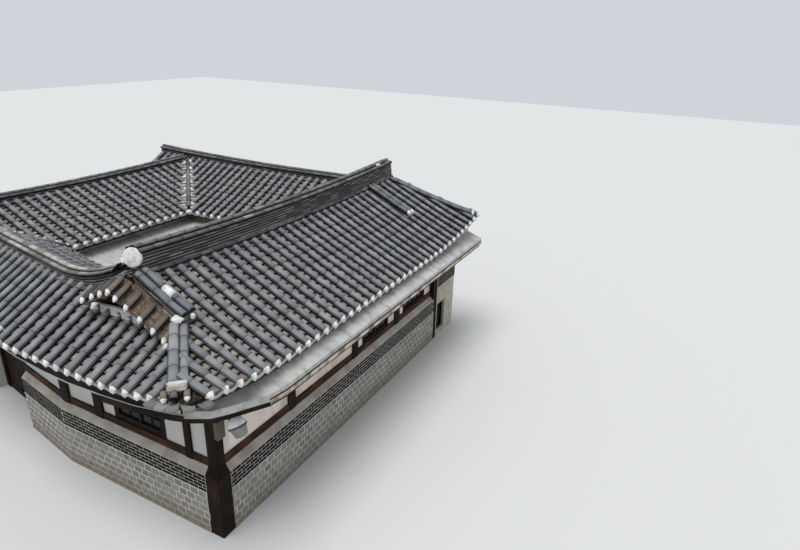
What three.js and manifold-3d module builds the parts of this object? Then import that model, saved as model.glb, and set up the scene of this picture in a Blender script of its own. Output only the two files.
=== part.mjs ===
// A courtyard hanok: four tiled wings around a small yard, with stone lower walls under a band
// of brick, dark timber, white plaster, curved tile ridges and sheet-metal eaves.
// Millimetres, +Z up. Plan positions are measured from the near corner of the outer walls:
// X runs along the south wall and is negative to the west, Y runs back along the east wall.
import * as THREE from "three";
import { mergeVertices } from "three/addons/utils/BufferGeometryUtils.js";
import Module from "manifold-3d";

const wasm = await Module();
wasm.setup();

// Heights
const BAND_TOP = 1150;
const CAP_TOP = 1260;
const SHOULDER_TOP = 1290;
const SILL_TOP = 1400;
const WINDOW_TOP = 2350;
const FLOOR_TOP = 450;
const YARD_TOP = 150;
const YARD_DOOR_TOP = 2250;
const ABOVE_ROOF = 6000;
const GAP = 0.3;
const JOINT = 0.4;

// Roof slopes: height at the eave, pitch, curve, and the rise of the ridge towards its ends
const EAST_SLOPE = { eave: 2870, pitch: 0.42, curve: 0.000024, ridge: -50, rise: 130 };
const WEST_SLOPE = { eave: 2870, pitch: 0.38, curve: 0.00002, ridge: -70, rise: 80 };
const NORTH_SLOPE = { eave: 2870, pitch: 0.38, curve: 0.00002, ridge: 50, rise: 60 };
const SOUTH_SLOPE = { eave: 2830, pitch: 0.5, curve: 0.000012, ridge: 0, rise: 0 };
const CORNER_LIFT = 280;
const LIFT_REACH = 2200;
const EAVE_THICK = 110;
const ROOF_THICK = 280;
const THIN_EDGE = 150;
const THICK_FROM = 400;

// Plan of the eaves, ridges and gables
const EAST_EAVE = 450;
const EAST_RIDGE = -1870;
const EAST_YARD_EAVE = -4190;
const WEST_YARD_EAVE = -6650;
const WEST_RIDGE = -8680;
const WEST_EAVE = -10710;
const SOUTH_EAVE = -680;
const SOUTH_HALF = 1330;
const NORTH_YARD_EAVE = 6050;
const NORTH_RIDGE = 8080;
const NORTH_EAVE = 10110;
const FAR_EAVE_END = 9200;
const FAR_RIDGE_END = 8440;
const FAR_LIFT = 320;
const FAR_REACH = 3000;
const FAR_SET_BACK = 40;
const BEND_START = -3700;
const BEND_END = -7980;
const BEND_SHIFT = 730;
const SKIRT = 1020;
const GABLE_SET_BACK = 1100;
const EAST_HALF = EAST_EAVE - EAST_RIDGE;
const WEST_HALF = WEST_EAVE * -1 + WEST_RIDGE;
const EAST_GABLE = SOUTH_EAVE + GABLE_SET_BACK;
const WEST_GABLE = EAST_GABLE + BEND_SHIFT;
const SOUTH_EAST_END = EAST_YARD_EAVE + EAST_HALF - 760;
const SOUTH_WEST_END = BEND_END - 230;
const NORTH_GABLE = WEST_EAVE + GABLE_SET_BACK;
const NORTH_EAST_END = EAST_YARD_EAVE + WEST_HALF;

// Plan of the walls
const EAST_END = 7940;
const EAST_YARD_WALL = -3740;
const WEST_YARD_WALL = -7300;
const WEST_WALL = -10100;
const NORTH_WALL = 9460;
const NORTH_END_WALL = -2200;
const NORTH_YARD_WALL = 6700;
const WALL = 300;
const YARD_WALL = 150;
const CORNER_SIZE = 270;
const COLUMN_FACE = 100;
const COLUMN_BACK = 280;
const TIMBER_FACE = 100;
const TIMBER_BACK = 270;
const POST_FACE = 88;
const POST_BACK = 230;
const PLASTER_FACE = 130;
const SOUTH_LINE = [[-5350, 265], [-3750, 0], [0, 0]];
const WEST_NEAR_LINE = [[WEST_WALL, 730], [BEND_END, 730], [-7355, 623]];
const YARD_LINE = [[-5350, 565], [-5350, 1705], [EAST_YARD_WALL - GAP, 1430]];
const GATE_LINE = [[WEST_YARD_WALL + GAP, 914], [-5378, 570]];

// Posts and windows, as distances along the two street walls
const EAST_POSTS = [[1890, 2080], [4020, 4200], [5820, 6030]];
const EAST_WINDOWS = [[4420, 5530], [6250, 7390]];
const SOUTH_POSTS = [[-740, -610], [-2910, -2700]];
const BEND_POST = [-3870, -3600];
const SOUTH_WINDOW = [-2410, -1190];
const LOW_WINDOW = [7970, 8450, 150, 950];
const EAST_YARD_DOORS = [[2300, 4100], [4500, 6300]];
const NORTH_YARD_DOORS = [[-6900, -5600], [-5300, -4100]];
const WEST_YARD_DOORS = [[2700, 4400], [4700, 6400]];
const SOUTH_YARD_DOOR = [-4950, -4100];

// Ridges
const MAIN_RIDGE_TOP = 4400;
const MAIN_RIDGE_RISE = 110;
const MAIN_RIDGE_HALF = 190;
const SIDE_RIDGE_HALF = 150;
const HIP_RIDGE_HALF = 130;
const HIP_RIDGE_TALL = 200;
const NEAR_HIP_TOP = 3590;
const NEAR_HIP_FALL = 0.47;
const VERGE_RIDGE_IN = 160;
const YARD_AWNING_OUT = 700;

const house = new THREE.Group();

const finish = (color, roughness, metalness = 0) =>
  new THREE.MeshStandardMaterial({ color, roughness, metalness });
const granite = finish(0x9a958c, 0.95);
const limePlaster = finish(0xb9b2a6, 0.9);
const whitePlaster = finish(0xd9d8d2, 0.85);
const darkTimber = finish(0x2c211b, 0.7);
const redTimber = finish(0x4a2a1c, 0.7);
const roofTile = finish(0x5c6068, 0.75);
const ridgeTile = finish(0x4a4c4e, 0.8);
const sheetMetal = finish(0xc3c8c2, 0.45, 0.2);
const glass = finish(0x14181a, 0.15);
const paving = finish(0x8b8780, 0.95);
const lampMetal = finish(0xe6e8e6, 0.35);

function add(name, geometry, material) {
  const mesh = new THREE.Mesh(geometry, material);
  mesh.name = name;
  house.add(mesh);
}

function fromFaces(points, faces) {
  const geometry = new THREE.BufferGeometry();
  geometry.setAttribute("position", new THREE.Float32BufferAttribute(points.flat(), 3));
  geometry.setIndex(faces.flat());
  return geometry;
}

function box(x0, x1, y0, y1, z0, z1) {
  const geometry = new THREE.BoxGeometry(x1 - x0, y1 - y0, z1 - z0);
  geometry.translate((x0 + x1) / 2, (y0 + y1) / 2, (z0 + z1) / 2);
  return geometry;
}

function toManifold(geometry) {
  const plain = geometry.clone();
  for (const name of Object.keys(plain.attributes)) {
    if (name !== "position") plain.deleteAttribute(name);
  }
  const merged = mergeVertices(plain, 0.001);
  return new wasm.Manifold(new wasm.Mesh({
    numProp: 3,
    vertProperties: new Float32Array(merged.attributes.position.array),
    triVerts: new Uint32Array(merged.index.array),
  }));
}

function toGeometry(solid) {
  const mesh = solid.getMesh();
  const geometry = new THREE.BufferGeometry();
  geometry.setAttribute("position", new THREE.BufferAttribute(new Float32Array(mesh.vertProperties), 3));
  geometry.setIndex(new THREE.BufferAttribute(new Uint32Array(mesh.triVerts), 1));
  return geometry;
}

// The geometry with the tools cut away, without the small offcuts that this leaves
function cut(geometry, tools) {
  let solid = toManifold(geometry);
  for (const tool of tools) solid = solid.subtract(toManifold(tool));
  const pieces = solid.decompose();
  pieces.sort((a, b) => b.volume() - a.volume());
  return toGeometry(pieces[0]);
}

function moved(geometry, x, y, z) {
  return geometry.clone().translate(x, y, z);
}

function join(pieces) {
  let solid = toManifold(pieces[0]);
  for (const piece of pieces.slice(1)) solid = solid.add(toManifold(piece));
  return toGeometry(solid);
}

function flatTriangles(flat) {
  const order = flat.map((point, index) => index);
  if (THREE.ShapeUtils.isClockWise(flat)) order.reverse();
  const triangles = THREE.ShapeUtils.triangulateShape(order.map((index) => flat[index]), []);
  return triangles.map((triangle) => triangle.map((index) => order[index]));
}

function facedOut(geometry) {
  const p = geometry.attributes.position;
  const index = geometry.index;
  const [a, b, c] = [new THREE.Vector3(), new THREE.Vector3(), new THREE.Vector3()];
  let volume = 0;
  for (let i = 0; i < index.count; i += 3) {
    a.fromBufferAttribute(p, index.getX(i));
    b.fromBufferAttribute(p, index.getX(i + 1));
    c.fromBufferAttribute(p, index.getX(i + 2));
    volume += a.dot(b.cross(c));
  }
  if (volume > 0) return geometry;
  for (let i = 0; i < index.count; i += 3) {
    const second = index.getX(i + 1);
    index.setX(i + 1, index.getX(i + 2));
    index.setX(i + 2, second);
  }
  return geometry;
}

// Sections with the same number of points, joined into one closed body; `flat` turns a point
// of the end sections into plane coordinates
function loft(sections, flat) {
  const count = sections[0].length;
  const faces = [];
  for (let i = 0; i + 1 < sections.length; i += 1) {
    for (let j = 0; j < count; j += 1) {
      const a = i * count + j;
      const b = i * count + (j + 1) % count;
      faces.push([a, b, b + count], [a, b + count, a + count]);
    }
  }
  const ring = sections[0].map(flat);
  const last = (sections.length - 1) * count;
  const areaSign = THREE.ShapeUtils.isClockWise(ring) ? -1 : 1;
  for (const [a, b, c] of flatTriangles(ring)) {
    const [p, q, r] = areaSign > 0 ? [a, b, c] : [a, c, b];
    faces.push([p, r, q], [last + p, last + q, last + r]);
  }
  return facedOut(fromFaces(sections.flat(), faces));
}

// Upright block over a plan polygon
function prism(plan, z0, z1) {
  const ring = (z) => plan.map(([x, y]) => [x, y, z]);
  return loft([ring(z0), ring(z1)], ([x, y]) => new THREE.Vector2(x, y));
}

// Plan point at a distance to the left of a path's vertex, mitred where the path bends
function offsetPoint(path, i, distance) {
  const unit = (from, to) => {
    const length = Math.hypot(to[0] - from[0], to[1] - from[1]);
    return [(to[0] - from[0]) / length, (to[1] - from[1]) / length];
  };
  const here = path[i];
  const u = i > 0 ? unit(path[i - 1], here) : unit(here, path[i + 1]);
  const v = i + 1 < path.length ? unit(here, path[i + 1]) : u;
  const normal = [-(u[1] + v[1]), u[0] + v[0]];
  const scale = 2 / (normal[0] ** 2 + normal[1] ** 2);
  return [here[0] + normal[0] * distance * scale, here[1] + normal[1] * distance * scale];
}

// Profile of [distance to the left of the path, height] points, carried along a plan path;
// the profile may change from vertex to vertex
function sweep(path, profileAt) {
  const sections = path.map((point, i) =>
    profileAt(i).map(([distance, z]) => [...offsetPoint(path, i, distance), z]));
  const [start, next] = path;
  const across = new THREE.Vector2(start[1] - next[1], next[0] - start[0]).normalize();
  return loft(sections, ([x, y, z]) => new THREE.Vector2(x * across.x + y * across.y, z));
}

function wall(path, outside, inside, z0, z1) {
  return sweep(path, () => [[outside, z0], [inside, z0], [inside, z1], [outside, z1]]);
}

// Part of a line between two places given by their X
function between(line, x0, x1) {
  const at = (x) => {
    const k = line.findIndex(([px], i) => i > 0 && x <= px);
    const [[ax, ay], [bx, by]] = [line[k - 1], line[k]];
    return [x, ay + (by - ay) * (x - ax) / (bx - ax)];
  };
  return [at(x0), ...line.filter(([px]) => px > x0 && px < x1), at(x1)];
}

function southEave(x) {
  const share = THREE.MathUtils.clamp((BEND_START - x) / (BEND_START - BEND_END), 0, 1);
  return SOUTH_EAVE + BEND_SHIFT * share;
}

// The far end of the east roof is a skewed verge, from the end of its ridge out to the eave
function vergeY(x) {
  return FAR_RIDGE_END + (FAR_EAVE_END - FAR_RIDGE_END) * (x - EAST_RIDGE) / EAST_HALF;
}

const CORNERS = [[EAST_EAVE, SOUTH_EAVE], [WEST_EAVE, SOUTH_EAVE + BEND_SHIFT], [WEST_EAVE, NORTH_EAVE]];

// Height of a slope's top: it curves up from the eave, and its ridge rises towards its ends
function slopeTop(slope, half, x, y, d, along) {
  let lift = 0;
  for (const [cx, cy] of CORNERS) {
    const reach = Math.max(Math.abs(x - cx), Math.abs(y - cy));
    lift += CORNER_LIFT * Math.max(0, 1 - reach / LIFT_REACH) ** 2;
  }
  const share = THREE.MathUtils.clamp(d / half, 0, 1);
  return slope.eave + slope.pitch * d + slope.curve * d * d + lift * (1 - share) ** 2
    + (slope.ridge + slope.rise * along ** 2) * share ** 2;
}

const eastTop = (x, y) => {
  const d = Math.min(EAST_EAVE - x, x - EAST_YARD_EAVE);
  const near = x > EAST_RIDGE ? THREE.MathUtils.clamp(1 - (vergeY(x) - y) / FAR_REACH, 0, 1) : 0;
  return slopeTop(EAST_SLOPE, EAST_HALF, x, y, d, (y - 4400) / 4000)
    + FAR_LIFT * near ** 2 * (1 - d / EAST_HALF);
};
const westTop = (x, y) => slopeTop(WEST_SLOPE, WEST_HALF, x, y,
  Math.min(x - WEST_EAVE, WEST_YARD_EAVE - x), (y - 4600) / 3500);
const northTop = (x, y) => slopeTop(NORTH_SLOPE, WEST_HALF, x, y,
  Math.min(y - NORTH_YARD_EAVE, NORTH_EAVE - y), (x + 5400) / 3500);
const southTop = (x, y) => {
  const d = y - southEave(x);
  return slopeTop(SOUTH_SLOPE, SOUTH_HALF, x, y, Math.min(d, 2 * SOUTH_HALF - d), 0);
};

function roofThickness(d) {
  const share = THREE.MathUtils.clamp((d - THIN_EDGE) / (THICK_FROM - THIN_EDGE), 0, 1);
  return EAVE_THICK + (ROOF_THICK - EAVE_THICK) * share;
}

// One roof slope: `at` turns a place along the eave and a distance from it into a plan point,
// and the slope lies between `left` and `right` at each of its distances. A clearance grid is
// a hair wider, so that two of them close the joint between their slopes
function slopeGrid({ at, left, right, depths, columns, top }, grow, above) {
  const points = [];
  depths.forEach((d, j) => {
    const outward = (j === depths.length - 1 ? grow : 0) - (j === 0 ? grow : 0);
    for (let i = 0; i <= columns; i += 1) {
      const sideways = (i === columns ? grow : 0) - (i === 0 ? grow : 0);
      const s = left(d) + (right(d) - left(d)) * i / columns;
      points.push([...at(s + sideways, d + outward), top(...at(s, d)), roofThickness(d)]);
    }
  });
  const upper = points.map(([x, y, z]) => [x, y, above ? ABOVE_ROOF : z]);
  const drop = above ? 2 * GAP : 0;
  const lower = points.map(([x, y, z, thick]) => [x, y, z - thick - drop]);
  const count = points.length;
  const wide = columns + 1;
  const faces = [];
  const quad = (a, b, c, d) => faces.push([a, b, c], [a, c, d]);
  for (let j = 0; j + 1 < depths.length; j += 1) {
    for (let i = 0; i < columns; i += 1) {
      const a = j * wide + i;
      quad(a, a + 1, a + 1 + wide, a + wide);
      quad(count + a, count + a + wide, count + a + 1 + wide, count + a + 1);
    }
    const [a, b] = [j * wide, j * wide + columns];
    quad(a, a + wide, count + a + wide, count + a);
    quad(b, count + b, count + b + wide, b + wide);
  }
  for (let i = 0; i < columns; i += 1) {
    const b = (depths.length - 1) * wide + i;
    quad(i, count + i, count + i + 1, i + 1);
    quad(b, b + 1, count + b + 1, count + b);
  }
  return facedOut(fromFaces([...upper, ...lower], faces));
}

const yardValley = (x) => southEave(x) + 2 * SOUTH_HALF;
const overGable = (d) => Math.max(0, d - GABLE_SET_BACK);
const lowRows = [0, THIN_EDGE, THICK_FROM, 700];
const slopes = {
  east_outer_slope: {
    at: (s, d) => [EAST_EAVE - d, s],
    left: (d) => SOUTH_EAVE + Math.min(d, GABLE_SET_BACK) + GAP,
    right: (d) => vergeY(EAST_EAVE - d) - GAP,
    depths: [...lowRows, GABLE_SET_BACK, 1500, 1900, EAST_HALF - GAP],
    columns: 20,
    top: eastTop,
  },
  east_yard_slope: {
    at: (s, d) => [EAST_YARD_EAVE + d, s],
    left: (d) => Math.max(yardValley(EAST_YARD_EAVE + d) - d, EAST_GABLE) + GAP,
    right: () => FAR_RIDGE_END - GAP,
    depths: [0, THIN_EDGE, THICK_FROM, 490, 900, 1330, 1560, 1940, EAST_HALF - GAP],
    columns: 16,
    top: eastTop,
  },
  east_skirt: {
    at: (s, d) => [s, SOUTH_EAVE + d],
    left: () => SOUTH_EAST_END - 2 * GAP,
    right: (d) => EAST_EAVE - d - GAP,
    depths: [...lowRows, SKIRT],
    columns: 8,
    top: southTop,
  },
  south_front_slope: {
    at: (s, d) => [s, southEave(s) + d],
    left: (d) => SOUTH_WEST_END + overGable(d) + GAP,
    right: (d) => SOUTH_EAST_END - overGable(d) - GAP,
    depths: [...lowRows, GABLE_SET_BACK, SOUTH_HALF - GAP],
    columns: 12,
    top: southTop,
  },
  west_skirt: {
    at: (s, d) => [s, SOUTH_EAVE + BEND_SHIFT + d],
    left: (d) => WEST_EAVE + d + GAP,
    right: () => SOUTH_WEST_END + 2 * GAP,
    depths: [...lowRows, SKIRT],
    columns: 6,
    top: southTop,
  },
  south_yard_slope: {
    at: (s, d) => [s, yardValley(s) - d],
    left: (d) => WEST_YARD_EAVE - d + GAP,
    right: (d) => EAST_YARD_EAVE + d - GAP,
    depths: [0, THIN_EDGE, THICK_FROM, 490, 900, SOUTH_HALF - GAP],
    columns: 12,
    top: southTop,
  },
  west_yard_slope: {
    at: (s, d) => [WEST_YARD_EAVE - d, s],
    left: (d) => Math.max(yardValley(WEST_YARD_EAVE - d) - d, WEST_GABLE) + GAP,
    right: (d) => NORTH_YARD_EAVE + d - GAP,
    depths: [...lowRows, 1000, 1330, 1560, WEST_HALF - GAP],
    columns: 12,
    top: westTop,
  },
  west_outer_slope: {
    at: (s, d) => [WEST_EAVE + d, s],
    left: (d) => SOUTH_EAVE + BEND_SHIFT + Math.min(d, GABLE_SET_BACK) + GAP,
    right: (d) => (d < GABLE_SET_BACK ? NORTH_EAVE - d : NORTH_YARD_EAVE + d) - GAP,
    depths: [...lowRows, GABLE_SET_BACK - 1, GABLE_SET_BACK, 1500, WEST_HALF - GAP],
    columns: 14,
    top: westTop,
  },
  north_yard_slope: {
    at: (s, d) => [s, NORTH_YARD_EAVE + d],
    left: (d) => WEST_YARD_EAVE - d + GAP,
    right: (d) => EAST_YARD_EAVE + d - GAP,
    depths: [...lowRows, 1100, 1500, WEST_HALF - GAP],
    columns: 10,
    top: northTop,
  },
  north_west_slope: {
    at: (s, d) => [s, NORTH_YARD_EAVE + d],
    left: () => NORTH_GABLE + GAP,
    right: (d) => WEST_EAVE + d - 2 * GAP,
    depths: [GABLE_SET_BACK + 30, 1400, 1700, WEST_HALF - GAP],
    columns: 3,
    top: northTop,
  },
  north_outer_slope: {
    at: (s, d) => [s, NORTH_EAVE - d],
    left: (d) => WEST_EAVE + Math.min(d, GABLE_SET_BACK) + GAP,
    right: () => NORTH_EAST_END - GAP,
    depths: [...lowRows, GABLE_SET_BACK, 1500, WEST_HALF - GAP],
    columns: 14,
    top: northTop,
  },
};

// The north wing's slopes run into the east wing's yard slope and stop short of its ridge
const northWing = prism([[EAST_YARD_EAVE, NORTH_YARD_EAVE], [NORTH_EAST_END, NORTH_RIDGE],
  [NORTH_EAST_END, NORTH_EAVE], [EAST_YARD_EAVE - 100, NORTH_EAVE], [EAST_YARD_EAVE - 100, NORTH_YARD_EAVE]],
2000, ABOVE_ROOF);
const decks = {};
const airAbove = [];
const grownDecks = [];
for (const [name, slope] of Object.entries(slopes)) {
  const notched = name === "east_yard_slope";
  decks[name] = cut(slopeGrid(slope, 0, false), notched ? [northWing] : []);
  const notch = notched ? [moved(northWing, -2 * GAP, 0, 0)] : [];
  airAbove.push(cut(slopeGrid(slope, JOINT, true), notch));
  grownDecks.push(moved(cut(slopeGrid(slope, JOINT, false), notch), 0, 0, 2 * GAP));
}
const front = join([decks.south_front_slope, decks.east_skirt, decks.west_skirt]);
for (const name of Object.keys(decks)) {
  if (name === "south_front_slope") add(name, front, roofTile);
  else if (!name.endsWith("_skirt")) add(name, decks[name], roofTile);
}
const underRoof = (geometry) => cut(geometry, airAbove);

// Gable walls fill the end of a roof between its skirt and the start of its slopes
function gable(x0, x1, y0, y1, bottom, top) {
  const ring = (y) => {
    const points = [[x0, y, bottom], [x1, y, bottom]];
    const steps = 12;
    for (let i = 0; i <= steps; i += 1) {
      const x = x1 + (x0 - x1) * i / steps;
      points.push([x, y, top(x, y1 + 2)]);
    }
    return points;
  };
  return loft([ring(y0), ring(y1)], ([x, y, z]) => new THREE.Vector2(x, z));
}

// The north wing's gable stands on the west slope and faces west
function northGable(x0, x1, y0, y1) {
  const count = 12;
  const ring = (x) => {
    const points = [];
    for (let i = 0; i <= count; i += 1) {
      const y = y0 + (y1 - y0) * i / count;
      points.push([x, y, westTop(NORTH_GABLE, y) + 12]);
    }
    for (let i = 0; i <= count; i += 1) {
      const y = y1 + (y0 - y1) * i / count;
      points.push([x, y, northTop(NORTH_GABLE, y)]);
    }
    return points;
  };
  return loft([ring(x0), ring(x1)], ([x, y, z]) => new THREE.Vector2(y, z));
}

const gables = {
  east_gable: gable(SOUTH_EAST_END + GAP, EAST_EAVE - GABLE_SET_BACK - GAP,
    SOUTH_EAVE + SKIRT + GAP, EAST_GABLE - GAP, 3080, eastTop),
  west_gable: gable(WEST_EAVE + GABLE_SET_BACK + GAP, SOUTH_WEST_END - GAP,
    SOUTH_EAVE + BEND_SHIFT + SKIRT + GAP, WEST_GABLE - GAP, 3080, westTop),
  north_gable: northGable(NORTH_GABLE - 80, NORTH_GABLE - GAP, NORTH_YARD_EAVE + GABLE_SET_BACK + 40,
    NORTH_EAVE - GABLE_SET_BACK - 40),
};
for (const [name, geometry] of Object.entries(gables)) add(name, geometry, whitePlaster);

// Everything that a ridge can lie on, a hair larger, with no slit in the joints between slopes
const beds = join([...Object.values(gables).map((piece) => moved(piece, 0, 0, 2 * GAP)), ...grownDecks]);
const bedded = (geometry) => cut(geometry, [beds]);

// Ridges: a wall of flat tiles along a plan path, bedded on the slopes
function ridge(path, half, bottomAt, topAt) {
  return sweep(path, (i) => {
    const [x, y] = path[i];
    const [bottom, top] = [bottomAt(x, y), topAt(x, y)];
    return [[-half, bottom], [half, bottom], [half * 0.8, top], [-half * 0.8, top]];
  });
}

function steps(from, to, count) {
  const points = [];
  for (let i = 0; i <= count; i += 1) {
    points.push([from[0] + (to[0] - from[0]) * i / count, from[1] + (to[1] - from[1]) * i / count]);
  }
  return points;
}

const mainRidge = bedded(ridge(steps([EAST_RIDGE, 345], [EAST_RIDGE, FAR_RIDGE_END], 12),
  MAIN_RIDGE_HALF, (x, y) => eastTop(x, y) - 150,
  (x, y) => MAIN_RIDGE_TOP + MAIN_RIDGE_RISE * ((y - 4200) / 4000) ** 2));
add("main_ridge", mainRidge, ridgeTile);

const southRidgeEnd = EAST_RIDGE - 560;
const southRidgePath = [...steps([BEND_END - 250, 1380], [BEND_END, 1380], 1),
  ...steps([BEND_END, 1380], [BEND_START, 650], 5).slice(1),
  ...steps([BEND_START, 650], [southRidgeEnd, 650], 5).slice(1)];
const southRidgeTop = (x) => 3740 + 300 * Math.max(0, (x - BEND_START) / (southRidgeEnd - BEND_START)) ** 2
  + 120 * Math.max(0, (-6200 - x) / 1800) ** 2;
add("south_ridge", bedded(ridge(southRidgePath, SIDE_RIDGE_HALF, () => 3410, southRidgeTop)), ridgeTile);
add("west_ridge", bedded(ridge(steps([WEST_RIDGE, 1075], [WEST_RIDGE, NORTH_RIDGE - SIDE_RIDGE_HALF - GAP], 8),
  SIDE_RIDGE_HALF, (x, y) => westTop(x, y) - 100, (x, y) => westTop(x, y) + 210)), ridgeTile);
add("north_ridge", bedded(ridge(steps([NORTH_GABLE - 80, NORTH_RIDGE], [EAST_RIDGE - 200, NORTH_RIDGE], 8),
  SIDE_RIDGE_HALF, (x, y) => northTop(x, y) - 100, (x, y) => northTop(x, y) + 230)), ridgeTile);

// Hip and descending ridges
function hip(from, to, tall, heightAt) {
  return bedded(ridge(steps(from, to, 6), HIP_RIDGE_HALF, (x, y) => heightAt(x, y) - 100,
    (x, y) => heightAt(x, y) + tall));
}
const onHip = ([x, y], [dx, dy], distance) => [x + dx * distance, y + dy * distance];
// The near hip's rows lie on the front slope's side of the fold and fall evenly to the corner
const nearHip = [[-740, 240], [90, -590]];
const lowerDeck = (x, y) => Math.min(eastTop(x, y), southTop(x, y)) - 100;
add("near_hip_ridge", bedded(ridge(steps(...nearHip, 6), HIP_RIDGE_HALF, lowerDeck,
  (x) => NEAR_HIP_TOP - NEAR_HIP_FALL * (x - nearHip[0][0]))), ridgeTile);
const descentTop = EAST_RIDGE + MAIN_RIDGE_HALF + GAP;
add("near_descending_ridge", hip([descentTop, 470], [-720, 470], 230, eastTop), ridgeTile);
add("far_descending_ridge", hip([descentTop, 7330], [-550, 7330], 150, eastTop), ridgeTile);
const onVerge = (x) => [x, vergeY(x) - VERGE_RIDGE_IN];
add("far_verge_ridge", hip(onVerge(descentTop + 50), onVerge(EAST_EAVE - 60), 95, eastTop), ridgeTile);
const southWestCorner = [WEST_EAVE, SOUTH_EAVE + BEND_SHIFT];
add("southwest_hip_ridge", hip(onHip(southWestCorner, [1, 1], 1035), onHip(southWestCorner, [1, 1], 45),
  HIP_RIDGE_TALL, westTop), ridgeTile);
const northWestCorner = [WEST_EAVE, NORTH_EAVE];
add("northwest_hip_ridge", hip(onHip(northWestCorner, [1, -1], 930), onHip(northWestCorner, [1, -1], 45),
  HIP_RIDGE_TALL, westTop), ridgeTile);

// Street walls: stone and brick below, a sloped cap, a timber sill, and plaster between posts
const eastLine = [[0, CORNER_SIZE + GAP], [0, 7730 - GAP]];
const southWall = between(SOUTH_LINE, -5350, -CORNER_SIZE - GAP);
const pierRing = (face, z) => [[-CORNER_SIZE, face, z], [-face, face, z], [-face, CORNER_SIZE, z],
  [-CORNER_SIZE, CORNER_SIZE, z]];
add("corner_pier", loft([pierRing(0, 0), pierRing(0, BAND_TOP), pierRing(COLUMN_FACE, SHOULDER_TOP)],
  ([x, y]) => new THREE.Vector2(x, y)), darkTimber);
add("east_stone_wall", wall(eastLine, 0, CORNER_SIZE, 0, BAND_TOP), granite);
add("south_stone_wall", wall(southWall, 0, CORNER_SIZE, 0, BAND_TOP), granite);
const capProfile = () => [[0, BAND_TOP + GAP], [CORNER_SIZE, BAND_TOP + GAP], [CORNER_SIZE, CAP_TOP],
  [TIMBER_FACE, CAP_TOP], [0, BAND_TOP + 12]];
add("east_wall_cap", sweep(eastLine, capProfile), limePlaster);
add("south_wall_cap", sweep(southWall, capProfile), limePlaster);
const upperEast = [[0, COLUMN_BACK + GAP], [0, 7730 - GAP]];
const upperSouth = between(SOUTH_LINE, -5350, -COLUMN_BACK - GAP);
add("east_sill_beam", wall(upperEast, TIMBER_FACE, TIMBER_BACK, CAP_TOP + GAP, SILL_TOP), redTimber);
add("south_sill_beam", wall(upperSouth, TIMBER_FACE, TIMBER_BACK, CAP_TOP + GAP, SILL_TOP), redTimber);

const eastPocket = ([y0, y1]) =>
  box(-POST_BACK - GAP, 0, y0 - GAP, y1 + GAP, SILL_TOP, ABOVE_ROOF);
const southPocket = ([x0, x1]) =>
  wall(between(SOUTH_LINE, x0 - GAP, x1 + GAP), 0, POST_BACK + GAP, SILL_TOP, ABOVE_ROOF);
const eastHoles = EAST_WINDOWS.map(([y0, y1]) => box(-WALL, 0, y0, y1, SILL_TOP - 1, WINDOW_TOP));
const southHole = wall(between(SOUTH_LINE, ...SOUTH_WINDOW), 0, WALL + 50, SILL_TOP - 1, WINDOW_TOP);
add("east_upper_wall", underRoof(cut(wall(upperEast, PLASTER_FACE, TIMBER_BACK, SILL_TOP + GAP, 3400),
  [...EAST_POSTS.map(eastPocket), ...eastHoles])), whitePlaster);
add("south_upper_wall", underRoof(cut(wall(upperSouth, PLASTER_FACE, TIMBER_BACK, SILL_TOP + GAP, 3400),
  [...[...SOUTH_POSTS, BEND_POST].map(southPocket), southHole])), whitePlaster);

EAST_POSTS.forEach(([y0, y1], i) => {
  const line = [[0, y0], [0, y1]];
  add(`east_post_${i + 1}`, underRoof(join([wall(line, POST_FACE, POST_BACK, SILL_TOP + GAP, 3400),
    wall(line, POST_FACE, TIMBER_FACE - GAP, CAP_TOP + GAP, SILL_TOP + 10)])), darkTimber);
});
[...SOUTH_POSTS, BEND_POST].forEach(([x0, x1], i) => {
  const line = between(SOUTH_LINE, x0, x1);
  const name = i < SOUTH_POSTS.length ? `south_post_${i + 1}` : "bend_post";
  add(name, underRoof(join([wall(line, POST_FACE, POST_BACK, SILL_TOP + GAP, 3400),
    wall(line, POST_FACE, TIMBER_FACE - GAP, CAP_TOP + GAP, SILL_TOP + 10)])), darkTimber);
});
add("corner_post", underRoof(box(-COLUMN_BACK, -COLUMN_FACE, COLUMN_FACE, COLUMN_BACK, SHOULDER_TOP + GAP, 3400)),
  darkTimber);
add("east_end_post", underRoof(box(-TIMBER_BACK, -10, 7730, EAST_END - GAP, 0, 3400)), darkTimber);

// Windows: a timber frame with a pane in it
function framed(line, z0, z1, face, frame) {
  const whole = wall(line, face, face + 90, z0, z1);
  const length = Math.hypot(line[1][0] - line[0][0], line[1][1] - line[0][1]);
  const inner = [frame / length, 1 - frame / length].map((t) =>
    [line[0][0] + (line[1][0] - line[0][0]) * t, line[0][1] + (line[1][1] - line[0][1]) * t]);
  const front = wall(inner, face - 5, face + 40, z0 + frame, z1 - frame);
  const back = wall(inner, face + 55, face + 100, z0 + frame, z1 - frame);
  return cut(whole, [front, back]);
}
EAST_WINDOWS.forEach(([y0, y1], i) => {
  add(`east_window_${i + 1}`, framed([[0, y0 + GAP], [0, y1 - GAP]], SILL_TOP + GAP, WINDOW_TOP - GAP, 120, 60),
    darkTimber);
});
add("south_window", framed(between(SOUTH_LINE, SOUTH_WINDOW[0] + GAP, SOUTH_WINDOW[1] - GAP),
  SILL_TOP + GAP, WINDOW_TOP - GAP, 120, 110), darkTimber);

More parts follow.
